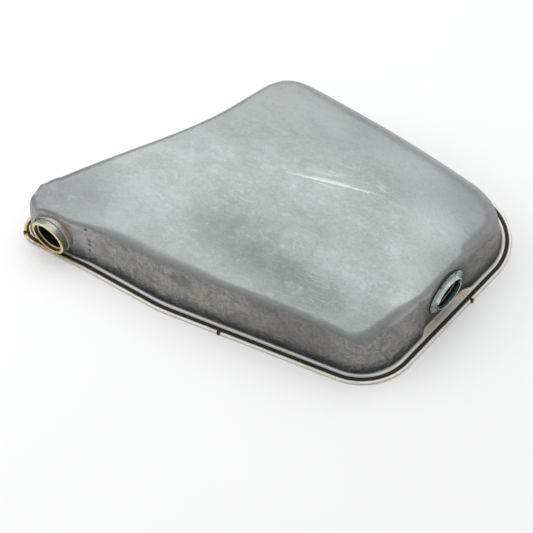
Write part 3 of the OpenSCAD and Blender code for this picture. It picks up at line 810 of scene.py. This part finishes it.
def wall_grid(rim):
    """Rings of points from flange to shoulder line, with their outward normals."""
    n = len(rim)
    foot_in, draft, shoulder_in, lean = wall_layout(rim)
    draft = np.radians(draft)
    inward, rim_xy = -rim[:, 2:], rim[:, :2]
    foot = rim_xy + inward * foot_in[:, None]
    top = rim_xy + lean * shoulder_in[:, None]
    run = np.linalg.norm(top - foot, axis=1)
    heading = (top - foot) / run[:, None]
    # sections are (distance from the foot, z); the knee is where wall and crown lines meet
    rise = 1 / np.tan(draft)
    top_z = crown(top[:, 0], top[:, 1])
    past = top + heading
    past_z = crown(past[:, 0], past[:, 1])
    slope = past_z - top_z
    knee_d = (top_z - slope * run - FLANGE_TOP) / (rise - slope)
    knee_z = FLANGE_TOP + rise * knee_d
    upper = np.hypot(run - knee_d, top_z - knee_z)
    lower = np.hypot(knee_d, knee_z - FLANGE_TOP)
    wall_dir = np.stack([knee_d, knee_z - FLANGE_TOP], 1) / lower[:, None]
    crown_dir = np.stack([run - knee_d, top_z - knee_z], 1) / upper[:, None]
    knee = np.stack([knee_d, knee_z], 1)
    bend_start = knee - wall_dir * np.minimum(upper, 0.85 * lower)[:, None]
    bend_end = np.stack([run, top_z], 1)
    weight = np.cos(np.arccos(np.clip((wall_dir * crown_dir).sum(1), -1, 1)) / 2)

    tangent = FOOT_R / np.tan((np.pi / 2 + draft) / 2)
    start, end = rim_xy + inward * (FLANGE_IN + 0.3), foot - heading * tangent[:, None]
    grid = [np.column_stack([start + (end - start) * i / 3, np.full(n, FLANGE_TOP)])
            for i in range(FLANGE_RINGS)]
    section = []
    centre = np.stack([-tangent, np.full(n, FLANGE_TOP + FOOT_R)], 1)
    for i in range(1, 8):
        a = -np.pi / 2 + (np.pi / 2 - draft) * (i / 7)
        section.append(centre + FOOT_R * np.stack([np.cos(a), np.sin(a)], 1))
    wall_start = section[-1]
    for i in range(1, 17):
        section.append(wall_start + (bend_start - wall_start) * i / 16)
    for i in range(1, 25):
        u = i / 24
        a, b, c = (1 - u) ** 2, 2 * weight * u * (1 - u), u * u
        point = a * bend_start + b[:, None] * knee + c * bend_end
        section.append(point / (a + b + c)[:, None])
    grid += [np.column_stack([foot + heading * q[:, :1], q[:, 1]]) for q in section]
    # one ring past the shoulder line, only to help the normals there
    grid.append(np.column_stack([past, past_z]))
    grid = np.array(grid)

    up = np.zeros_like(grid)
    up[1:-1] = grid[2:] - grid[:-2]
    up[0], up[-1] = grid[1] - grid[0], grid[-1] - grid[-2]
    normals = np.cross(np.roll(grid, -1, 1) - np.roll(grid, 1, 1), up)
    normals /= np.linalg.norm(normals, axis=2)[..., None] + 1e-12
    normals[:FLANGE_RINGS] = (0, 0, 1)
    normals *= np.sign(normals[..., 2].mean())
    normals[:FLANGE_RINGS] = (0, 0, 1)
    grid, normals = grid[:-1], normals[:-1]
    normals[-1] = crown_normal(grid[-1][:, 0], grid[-1][:, 1])
    return grid, normals


def crown_triangles(loop):
    """Near-equal triangles inside the loop: points, faces and each point's input number."""
    gx, gy = np.meshgrid(np.arange(-270, 270, 4.4), np.arange(-175, 175, 3.81))
    gx = gx + (np.arange(gx.shape[0]) % 2)[:, None] * 2.2
    pts = np.column_stack([gx.ravel(), gy.ravel()])
    inside = np.zeros(len(pts), bool)
    for (x0, y0), (x1, y1) in zip(loop, np.roll(loop, -1, 0)):
        hit = (y0 > pts[:, 1]) != (y1 > pts[:, 1])
        if hit.any():
            crossing = x0 + (pts[:, 1] - y0) * (x1 - x0) / (y1 - y0)
            inside ^= hit & (pts[:, 0] < crossing)
    pts = pts[inside]
    clearance = np.full(len(pts), 1e9)
    for q in loop:
        clearance = np.minimum(clearance, np.hypot(pts[:, 0] - q[0], pts[:, 1] - q[1]))
    pts = np.vstack([loop, pts[clearance > 2.6]])
    result = delaunay_2d_cdt([Vector((float(x), float(y))) for x, y in pts], [],
                             [list(range(len(loop)))], 1, 1e-6)
    return np.array([[v.x, v.y] for v in result[0]]), result[2], [ids[0] for ids in result[3]]


def dent(P):
    """Hand-formed sheet: slow waves of a few tenths of a millimetre, none near the fittings."""
    v = 0.2 * wave(P, 110, 3) + 0.07 * wave(P, 42, 8)
    for centre, clear in ((RING_AT, 42), (MOUTH_AT, 36)):
        v = v * ease((np.linalg.norm(P - centre, axis=1) - clear) / 40)
    return v


def shell():
    """The dome as one closed sheet, and the places of its pits."""
    n = 768
    rim = outline(n)
    grid, normals = wall_grid(rim)
    count = len(grid)
    fade_in = ease((np.arange(count) - 6) / 8)[:, None]
    grid_dent = dent(grid.reshape(-1, 3)).reshape(count, n) * fade_in
    xy, triangles, origin = crown_triangles(grid[-1][:, :2])
    middle = np.column_stack([xy, crown(xy[:, 0], xy[:, 1])])
    middle_normals = crown_normal(xy[:, 0], xy[:, 1])
    middle_dent = dent(middle)
    V, F = [], []

    def skin(offset, inward):
        """Add one face of the sheet; returns its outermost row."""
        turn = -1 if inward else 1
        base = len(V)
        V.extend((grid + normals * (grid_dent - offset)[..., None]).reshape(-1, 3).tolist())
        rows = [range(base + k * n, base + (k + 1) * n) for k in range(count)]
        for lower, upper in zip(rows, rows[1:]):
            F.extend(quad[::turn] for quad in band(lower, upper))
        points = middle + middle_normals * (middle_dent - offset)[:, None]
        number = {}
        for i, source in enumerate(origin):
            if source < n:
                number[i] = rows[-1][source]
            else:
                number[i] = len(V)
                V.append(points[i].tolist())
        F.extend([number[v] for v in face][::turn] for face in triangles)
        return rows[0]

    edges = [skin(0.0, inward=False)]
    inner_edge = skin(SHEET, inward=True)
    for z in (FLANGE_TOP - 0.3, FLANGE_TOP - SHEET + 0.3):
        edges.append(range(len(V), len(V) + n))
        V.extend(np.column_stack([rim[:, :2] - rim[:, 2:] * FLANGE_IN, np.full(n, z)]).tolist())
    edges.append(inner_edge)
    for p, q in zip(edges, edges[1:]):
        F.extend((b, a, d, c) for a, b, c, d in band(p, q))
    o = build("shell_dome", V, F)

    cutters = [cylinder(RING_AXES, (RING_OD + 0.2) / 2, -16, 10, n=160),
               cylinder(NECK_AXES, (NECK_BASE + 0.2) / 2, -30, 2, n=160)]
    walls = slice(4, 30)
    surface = (grid + normals * grid_dent[..., None])[walls]
    facing = normals[walls]
    pits = []
    for x, z in PIT_AIMS:
        # nearest wall point that faces -Y
        miss = np.hypot(surface[..., 0] - x, surface[..., 2] - z) + 1000 * (facing[..., 1] > -0.4)
        k = np.unravel_index(np.argmin(miss), miss.shape)
        cutters.append(cylinder(local(surface[k], facing[k] * [1, 1, 0.0]), 0.5, -1.1, 1.0,
                                n=24, r1=2.4))
        pits.append(surface[k])
    return cut(o, cutters), pits


dome, dome_pits = shell()
finish_piece(dome, shell_material(dome_pits), "upper_shell")


# ---------------------------------------------------------------- base pan, hem, sealer, rivets
RIM = outline(896)


def recess_loop(grow, z):
    """Rounded rectangle of the recess mouth, grown sideways by grow, at height z."""
    half_x, half_y = RECESS_HALF_X + grow, RECESS_HALF_Y + grow
    r = RECESS_R + grow if grow > -15 else 1.0
    P = []
    for q in range(4):
        cx = (1 if q in (0, 3) else -1) * (half_x - r)
        cy = (1 if q < 2 else -1) * (half_y - r)
        for j in range(15):
            a = math.radians(90 * q + 90 * j / 14)
            P.append((RECESS_X + cx + r * math.cos(a), RECESS_Y + cy + r * math.sin(a), z))
    return np.array(P)


def rim_rings(profile, side_wobble, seed, z_wobble=0.0):
    """Profile of (inset, z, share of the side wobble) carried round the rim."""
    arc = np.arange(len(RIM)) * 2 * np.pi / len(RIM)
    rng = np.random.default_rng(seed)
    side, lift = [sum(np.sin(arc * int(k) + rng.uniform(0, 6.28))
                      for k in rng.integers(lo, hi, 6)) / 3.0 for lo, hi in ((9, 70), (20, 160))]
    return [np.column_stack([RIM[:, :2] - RIM[:, 2:] * (inset + side_wobble * share * side)[:, None],
                             z + z_wobble * share * lift]) for inset, z, share in profile]


def base_pan():
    """Flat plate whose edge rolls up and over into the hem."""
    profile = [(11.0, 0.0, 0), (2.0, 0.0, 0), (1.1, 0.12, 0), (0.45, 0.5, 0), (0.1, 1.05, 0)]
    for i in range(15):
        c, s = math.cos(math.pi * i / 14), math.sin(math.pi * i / 14)
        profile.append((HEM_W / 2 * (1 - math.copysign(abs(c) ** 0.75, c)),
                        1.75 + (HEM_H - 1.75) * abs(s) ** 0.75, 0.6 if 2 < i < 12 else 0.0))
    profile += [(HEM_W, 1.62, 0), (HEM_W + 0.05, SHEET, 0), (11.0, SHEET, 0)]
    o = sweep("base_plate", rim_rings(profile, side_wobble=0.1, seed=4), 30, capped=True)
    cutters = [sweep("cutter", [recess_loop(0, z) for z in (-2, 5)], capped=True),
               cylinder(upright(*BUNG_XY), BUNG_R, -2, 5, n=96)]
    cutters += [cylinder(upright(x, y), BOSS_R, -2, 5, n=96) for x, y in BOSSES]
    cutters += [cylinder(upright(x, y), 2.3, -1, HEM_H + 2, n=48) for x, y in RIVETS]
    return cut(o, cutters, 30)


def pan_material():
    """Cream hem outside, plain steel plate below."""
    m = Mat("rim_steel_pan")
    broad, fine = m.mottle((0.05,) * 3, (0.4,) * 3)
    grain = m.noise((2.0,) * 3, detail=2)
    x, _, z = m.xyz
    hem = m.tones(broad, 0.4, 0.6, (0.76, 0.70, 0.59), (0.85, 0.82, 0.75))
    hem = m.layers(hem, [(fine, 0.5, 0.7, 0.45, (0.6, 0.5, 0.37))])
    hem = m.mix(z.fade(0.4, 2.4) * 0.55, hem, (0.42, 0.33, 0.22))
    # rust and straw towards the nose
    nose = x.step(-150, -225)
    hem = m.mix(nose * fine.step(0.3, 0.62), hem, (0.4, 0.24, 0.08))
    hem = m.mix(nose * broad.step(0.4, 0.6) * 0.5, hem, (0.82, 0.6, 0.24))
    plate = m.tones(broad, 0.4, 0.62, (0.36, 0.365, 0.355), (0.45, 0.445, 0.42))
    plate = m.layers(plate, [(fine, 0.5, 0.75, 0.4, (0.3, 0.27, 0.23))])
    under = m.normal[2].fade(-0.75, -0.45)
    return m.done(m.mix(under, hem, plate), rough=0.34 + broad.step(0.3, 0.7) * 0.16,
                  metal=0.4 + under * 0.4,
                  normal=m.bump(fine * 0.6 + grain * 0.3, strength=0.18, dist=0.0005))


def seam_bead():
    """Sealer between the hem and the shell flange."""
    profile = [(HEM_W + 0.05, SHEET, 0), (HEM_W + 0.1, 2.05, 0.3), (HEM_W + 0.7, 2.35, 1),
               (4.9, 2.3, 1), (5.8, 2.22, 1), (6.8, 2.36, 1), (7.35, 2.45, 0.6),
               (FLANGE_IN - 0.03, 2.25, 0), (FLANGE_IN - 0.03, SHEET, 0)]
    return sweep("seam_bead", rim_rings(profile, side_wobble=0.12, seed=9, z_wobble=0.1), 50)


def rivets():
    profile = rounded([(0.0, 0.3), (2.25, 0.3), (2.28, 4.3), (1.25, 4.35), (0.95, 3.3), (0.0, 3.15)],
                      [0, 0.2, 0.5, 0.25, 0.2, 0])
    return turned("rivets", RIVETS, profile, n=40, smooth=40)


finish_piece(base_pan(), pan_material(), "base_pan")
finish_piece(seam_bead(), M_SEALER, "seam_sealer")
finish_piece(rivets(), M_RIVET, "rim_rivets")


# ---------------------------------------------------------------- filler neck
NECK_R = NECK_OD / 2


def axis_depth(m, centre, normal):
    """Distance outward from centre along a horizontal normal."""
    x, y, _ = m.xyz
    return (x - centre[0]) * normal[0] + (y - centre[1]) * normal[1]


def neck_material():
    """Green-grey body with painted shade on its +X side, straw lip and painted shade down the bore."""
    m = Mat("neck_plate")
    broad, fine = m.mottle((0.12,) * 3, (0.6,) * 3)
    mouth_level = 0.0
    depth = axis_depth(m, MOUTH_AT, NECK_OUT) + mouth_level
    vx, vy, vz = [axis - c for axis, c in zip(m.xyz, MOUTH_AT)]
    radius = ((vx * vx + vy * vy) + (vz * vz + depth * depth * -1.0)).sqrt()
    body = m.tones(broad, 0.4, 0.62, (0.3, 0.335, 0.27), (0.44, 0.46, 0.37))
    # the second layer is painted shade on the neck's +X side
    body = m.layers(body, [(fine, 0.45, 0.7, 0.5, (0.22, 0.26, 0.24)),
                           (vx, 2, 22, 0.6, (0.13, 0.13, 0.12))])
    lip = m.tones(broad, 0.4, 0.6, (0.8, 0.68, 0.42), (0.88, 0.8, 0.6))
    lip = m.layers(lip, [(fine, 0.46, 0.6, 0.85, (0.62, 0.36, 0.06))])
    lip = m.mix(vz.fade(-20, -6, full=0.85) * broad.step(0.35, 0.5), lip, (0.78, 0.46, 0.07))
    col = m.mix(depth.step(-1.4, -0.6), body, lip)
    # painted shade down the bore
    bore = radius.fade(NECK_ID / 2 + 0.2, NECK_ID / 2 + 0.9)
    col = m.mix(bore * depth.fade(-1.6, -0.8, full=0.93), col,
                m.tones(fine, 0.4, 0.6, (0.02, 0.03, 0.024), (0.07, 0.09, 0.075)))
    return m.done(col, rough=0.26 + fine.step(0.3, 0.7) * 0.16, metal=0.72,
                  normal=m.bump(fine, strength=0.12, dist=0.0004))


def neck_tube():
    bore = NECK_ID / 2
    profile = rounded([(NECK_R, -NECK_L), (NECK_R, 0), (bore, 0), (bore, -SEAT_D),
                       (SEAT_R, -SEAT_D - 0.02), (SEAT_R, -NECK_L)],
                      [0.6, 1.3, 0.9, 0.1, 0.1, 0.6], 6)
    return lathe("neck_tube", NECK_AXES, profile, n=160)


def weld_ripple(P, r):
    """Ripple the outer part of the weld ring."""
    if r > NECK_R + 0.8:
        t = angles(len(P))
        ripple = 0.22 * np.sin(t * 46) + 0.12 * np.sin(t * 19 + 1)
        P[:, :2] *= ((r + ripple * 0.5) / r)[:, None]
        P[:, 2] += ripple * 0.5
    return P


def neck_weld():
    outer = NECK_BASE / 2 - 0.25
    profile = rounded([(NECK_R, -17.9), (outer, -17.9), (outer, -9.4), (NECK_R + 1.3, -8.65),
                       (NECK_R, -8.8)], [0.2, 0.3, 1.2, 0.7, 0.1], 5)
    return lathe("neck_base_ring", NECK_AXES, profile, n=240, jitter=weld_ripple)


def neck_seat():
    back = -SEAT_D - 1.5
    profile = rounded([(SEAT_R, back), (SEAT_R, -SEAT_D), (SEAT_ID / 2, -SEAT_D),
                       (SEAT_ID / 2, back)], [0.1, 0.2, 0.5, 0.4], 5)
    return lathe("neck_seat", NECK_AXES, profile)


finish_piece(neck_tube(), neck_material(), "filler_neck")
finish_piece(neck_weld(), M_WELD, "neck_weld_ring")
finish_piece(neck_seat(), M_LIP, "neck_seat_ring")


# ---------------------------------------------------------------- flanged ring
def ring():
    """Flange with a raised collar, six countersunk holes and two notches across the collar."""
    outer, bore = RING_OD / 2, RING_ID / 2
    profile = rounded([(outer, -RING_T), (outer, 0), (bore + 3, 0), (bore + 1.3, COLLAR),
                       (bore, COLLAR), (bore, -1.2), (RELIEF, -1.2), (RELIEF, -RING_T)],
                      [0.5, 0.8, 1.2, 0.5, 0.6, 0.4, 0.1, 0.4], 7)
    o = lathe("sender_flange", RING_AXES, profile, n=192)
    cutters = []
    tap = RING_TAP / 2
    for hole in ring_holes():
        axes = (hole,) + RING_AXES[1:]
        cutters.append(cylinder(axes, tap, -7, 2, n=40))
        cutters.append(cylinder(axes, tap, -0.45, 0.5, n=40, r1=tap + 0.6))
    for side in (-1, 1):
        y = side * (bore + 0.4)
        cutters.append(block(RING_AXES, (-3, y - 1.6, COLLAR - 2.4), (3, y + 1.6, COLLAR + 3.6)))
    o = cut(o, cutters, 30)
    # clear the slivers the cuts leave
    bm = bmesh.new()
    bm.from_mesh(o.data)
    bmesh.ops.dissolve_degenerate(bm, dist=1.5e-5, edges=bm.edges[:])
    bm.to_mesh(o.data)
    bm.free()
    return o


def ring_material():
    """Blue-green plating with turning marks, a painted highlight and painted shade on the collar, and
    painted shade in the bore, behind the face and in the holes.
    """
    m = Mat("plated_ring_face")
    broad, fine = m.mottle((0.14,) * 3, (0.7,) * 3, dist=0.6)
    nx, ny, nz = m.normal
    offset = m.new("ShaderNodeVectorMath", operation="SUBTRACT")
    m.put(offset.inputs[0], m.mm)
    offset.inputs[1].default_value = RING_AT.tolist()
    length = m.new("ShaderNodeVectorMath", operation="LENGTH")
    m.put(length.inputs[0], Field(m, offset.outputs[0]))
    reach = Field(m, length.outputs["Value"])
    depth = axis_depth(m, RING_AT, RING_OUT)
    radius = (reach * reach + depth * depth * -1.0).sqrt()

    col = m.tones(broad, 0.38, 0.62, (0.3, 0.42, 0.385), (0.46, 0.575, 0.53))
    col = m.layers(col, [(fine, 0.48, 0.7, 0.55, (0.6, 0.7, 0.655)),
                         (fine, 0.5, 0.25, 0.35, (0.16, 0.24, 0.22))])
    # painted shade down the bore, darker the deeper it goes
    bore = (radius.fade(RING_ID / 2 + 0.1, RING_ID / 2 + 0.5)
            * depth.fade(COLLAR - 0.9, COLLAR - 0.2))
    col = m.mix(bore * depth.step(-0.6, 2.0, 0.95, 0.45), col,
                m.tones(depth, -0.4, 1.2, (0.012, 0.015, 0.014), (0.12, 0.16, 0.145)))
    # painted shade behind the face, in the rear relief
    col = m.mix(depth.fade(-0.9, -0.2) * radius.fade(RELIEF + 2.5, RELIEF + 4), col,
                (0.01, 0.013, 0.012))
    # the collar's outside: painted shade where it faces down, a painted highlight where it faces up
    collar_shade = depth.step(1.0, 3.0) * nz.fade(-0.4, 0.1) * bore.inverse()
    collar_highlight = depth.step(0.6, 2.6) * nz.step(0.0, 0.35) * bore.inverse()
    col = m.mix(collar_shade * 0.8, col, (0.09, 0.11, 0.1))
    col = m.mix(collar_highlight * 0.75, col, (0.78, 0.84, 0.8))
    # patchy darkening round the outer edge
    outer_edge_dark = radius.step(RING_OD / 2 - 1.3, RING_OD / 2 - 0.2) * fine.step(0.3, 0.6, 1.0, 0.4)
    col = m.mix(outer_edge_dark * 0.75, col, (0.05, 0.07, 0.065))
    # painted shade in the six holes
    for hole in ring_holes():
        col = m.mix(m.spot(hole, 3.6) * 0.97, col, (0.012, 0.014, 0.014))
    face = abs(nx * RING_OUT[0] + ny * RING_OUT[1]).step(0.6, 0.9)
    height = (reach * 14.0).sine() * (face * 0.35) + fine * 0.5
    return m.done(col, rough=0.26 + fine.step(0.3, 0.7) * 0.14, metal=0.78,
                  normal=m.bump(height, strength=0.12, dist=0.0003))


# thin near-black ring round the flange's outside edge
def ring_black_outline():
    inner, outer = RING_OD / 2 + 0.02, RING_OD / 2 + 0.75
    profile = rounded([(inner, -4.5), (outer, -4.5), (outer, -0.3), (inner, -0.1)],
                      [0.05, 0.2, 0.5, 0.1])
    return lathe("ring_black_outline", RING_AXES, profile, n=160)


def ring_backing():
    outer, inner = RELIEF - 0.02, 18.5
    profile = rounded([(outer, -4.4), (outer, -2.9), (inner, -2.9), (inner, -4.4)],
                      [0.2, 0.2, 0.45, 0.45])
    return lathe("ring_inner", RING_AXES, profile)


finish_piece(ring(), ring_material(), "sender_ring")
finish_piece(ring_black_outline(), M_SEALER, "ring_sealer")
finish_piece(ring_backing(), M_BACK, "ring_backing")


# ---------------------------------------------------------------- base fittings
def recess():
    """Pressed recess: flange, rounded lip, sloped wall, rounded corner and roof, as one sheet."""
    h, slope = RECESS_H, 5.0
    # profiles of (growth of the mouth, z)
    outer = rounded([(8.0, 2 * SHEET), (0.0, 2 * SHEET), (-slope, h), (-24.0, h)],
                    [0, 1.2, 4.0, 0], 8)
    inner = rounded([(8.0, SHEET), (-1.5, SHEET), (-slope - 1.6, h - SHEET), (-24.0, h - SHEET)],
                    [0, 1.6, 2.6, 0], 8)
    outside = [recess_loop(d, z) for d, z in outer[:-1]] + [recess_loop(-22.5, h)]
    inside = [recess_loop(d, z) for d, z in inner[:-1]] + [recess_loop(-22.5, h - SHEET)]
    # starts and ends on the roof, whose two sides the caps fill
    o = sweep("hose_recess", inside[::-1] + outside, 40, capped=True)
    holes = [cylinder(upright(x, RECESS_Y), 6.0, h - 5, h + 3, n=64) for x in (VENT_X, RETURN_X)]
    return cut(o, holes, 40)


def spigot(name, x, diameter):
    r, h = diameter / 2, RECESS_H
    bore = (diameter - 2.4) / 2
    profile = rounded([(bore, 4), (r, 4), (r, h - 3), (6, h - 3), (6, h + 6), (3, h + 6),
                       (3, h), (bore, h)], [0.25, 0.6, 0.5, 0.6, 0.7, 0.3, 0.1, 0.2], 5)
    return lathe(name, upright(x, RECESS_Y), profile, n=72)


def pipe(name, path):
    """Open-ended tube along a path that lies in a plane of constant x."""
    P = np.array(path, float)
    heading = np.gradient(P, axis=0)
    heading /= np.linalg.norm(heading, axis=1)[:, None]
    across = np.array([1.0, 0, 0])
    t = angles(32)
    rings = []
    for order, r in ((range(len(P)), PIPE_R), (range(len(P) - 1, -1, -1), PIPE_BORE)):
        for k in order:
            side = np.cross(heading[k], across)
            rings.append(P[k] + r * (np.cos(t)[:, None] * across + np.sin(t)[:, None] * side))
    return sweep(name, rings, 50)


def vent_pipe():
    """Straight up, then bent over towards -Y."""
    rise, bend, reach = 56, 8, 16
    path = [(VENT_X, RECESS_Y, RECESS_H + 0.02 + rise * k / 6) for k in range(7)]
    path += [(VENT_X, RECESS_Y - bend + bend * math.cos(a), RECESS_H + rise + bend * math.sin(a))
             for a in np.radians(np.linspace(11, 90, 8))]
    path += [(VENT_X, RECESS_Y - bend - reach * k / 3, RECESS_H + rise + bend)
             for k in range(1, 4)]
    return pipe("breather_pipe", path)


def return_pipe():
    return pipe("return_pipe", [(RETURN_X, RECESS_Y, RECESS_H + 0.02 + 33.9 * k / 4)
                                for k in range(5)])


def bung():
    axes = upright(*BUNG_XY)
    profile = rounded([(BUNG_BORE, 0), (BUNG_R, 0), (BUNG_R, 14), (BUNG_BORE, 14)],
                      [1.0, 0.5, 1.2, 0.8], 5)
    o = lathe("tap_bung", axes, profile, n=96)
    return cut(o, [thread(axes, BUNG_BORE + 0.01, 1.6, 12.6, pitch=1.0, depth=0.5, n=64)], 30)


def bosses():
    """Four blind threaded bosses, open downward, as one mesh."""
    profile = rounded([(0, 13), (BOSS_R, 13), (BOSS_R, 0), (BOSS_BORE, 0), (BOSS_BORE, 10), (0, 10)],
                      [0, 1.2, 0.4, 0.7, 0.3, 0], 5)
    parts = []
    for x, y in BOSSES:
        o = turned("boss", [(x, y)], profile, n=64, smooth=30)
        tap = thread(upright(x, y), BOSS_BORE + 0.01, 0.9, 9.6, pitch=1.25, depth=0.55, n=48)
        parts.append(cut(o, [tap], 30))
    me = bpy.data.meshes.new("mount_boss_set")
    bm = bmesh.new()
    for part in parts:
        bm.from_mesh(part.data)
    bm.to_mesh(me)
    bm.free()
    discard(parts)
    o = link_object("mount_boss_set", me)
    shade(o, 30)
    return o


def doublers():
    """Washer-like plates on the pan round the bosses."""
    inner, top = BOSS_R + 0.02, 2.7
    profile = rounded([(inner, SHEET), (17, SHEET), (17, top), (inner, top)], [0.05, 0.1, 0.5, 0.2])
    return turned("boss_doublers", BOSSES, profile, n=96, smooth=30)


finish_piece(recess(), M_PAN, "recess_pressing")
finish_piece(spigot("vent_union", VENT_X, 6.0), M_FIT, "vent_spigot")
finish_piece(spigot("return_union", RETURN_X, 8.0), M_FIT, "return_spigot")
finish_piece(vent_pipe(), M_INNER, "vent_tube")
finish_piece(return_pipe(), M_INNER, "return_tube")
finish_piece(bung(), M_FIT, "outlet_bung")
finish_piece(bosses(), M_FIT, "mount_bosses")
finish_piece(doublers(), M_INNER, "mount_doublers")

# the two baffles keep their CAD mesh, with softened edges
for baffle_name in ("baffle_front", "baffle_rear"):
    baffle = cad["nodes"][baffle_name]
    baffle.data.materials.clear()
    baffle.data.materials.append(M_INNER)
    bevel = baffle.modifiers.new("edge", "BEVEL")
    bevel.width = 0.00035
    bevel.segments = 2
    bevel.limit_method = "ANGLE"
    bevel.angle_limit = math.radians(40)


# ---------------------------------------------------------------- floor, light, camera (metres)
def floor(half=6.0, z=-0.0002):
    me = bpy.data.meshes.new("floor")
    corners = [(-half, -half, z), (half, -half, z), (half, half, z), (-half, half, z)]
    me.from_pydata(corners, [], [(0, 1, 2, 3)])
    o = link_object("floor", me)
    m = Mat("floor_paper")
    cloud = m.noise((0.004,) * 3, detail=2)
    me.materials.append(m.done(m.mix(cloud, (0.9, 0.9, 0.9), (0.93, 0.93, 0.93)),
                               rough=0.8, metal=0.0))


def softbox(name, location, size, power, colour):
    """Area light aimed at the origin."""
    light = bpy.data.lights.new(name, "AREA")
    light.shape = "RECTANGLE"
    light.size, light.size_y = size
    light.energy = power
    light.color = colour
    o = link_object(name, light)
    o.location = location
    o.rotation_euler = (-Vector(location)).to_track_quat("-Z", "Y").to_euler()


def world():
    studio = bpy.data.worlds.new("studio")
    SCENE.world = studio
    studio.use_nodes = True
    background = studio.node_tree.nodes["Background"]
    background.inputs["Color"].default_value = (1.0, 1.0, 1.0, 1.0)
    background.inputs["Strength"].default_value = 0.52


def camera(target, elevation, azimuth, distance):
    """Camera at a distance from its target; azimuth turns from -Y towards +X, in degrees."""
    data = bpy.data.cameras.new("camera")
    data.sensor_fit = "HORIZONTAL"
    data.sensor_width = 36.0
    data.lens = 120.06
    data.clip_end = 50
    o = link_object("camera", data)
    el, az = math.radians(elevation), math.radians(azimuth)
    back = Vector((math.sin(az) * math.cos(el), -math.cos(az) * math.cos(el), math.sin(el)))
    o.location = Vector(target) + back * distance
    o.rotation_euler = (-back).to_track_quat("-Z", "Y").to_euler()
    SCENE.camera = o


floor()
softbox("softbox_top", (-0.3, 0.5, 2.2), size=(2.6, 2.2), power=34, colour=(0.98, 0.99, 1.0))
softbox("softbox_left", (-1.9, -0.4, 1.3), size=(1.6, 1.4), power=12, colour=(1, 1, 1))
world()
camera(target=(0.015467, -0.061870, 0.0), elevation=57.0, azimuth=24.4, distance=2.062)
SCENE.view_settings.view_transform = "Standard"
SCENE.view_settings.look = "None"
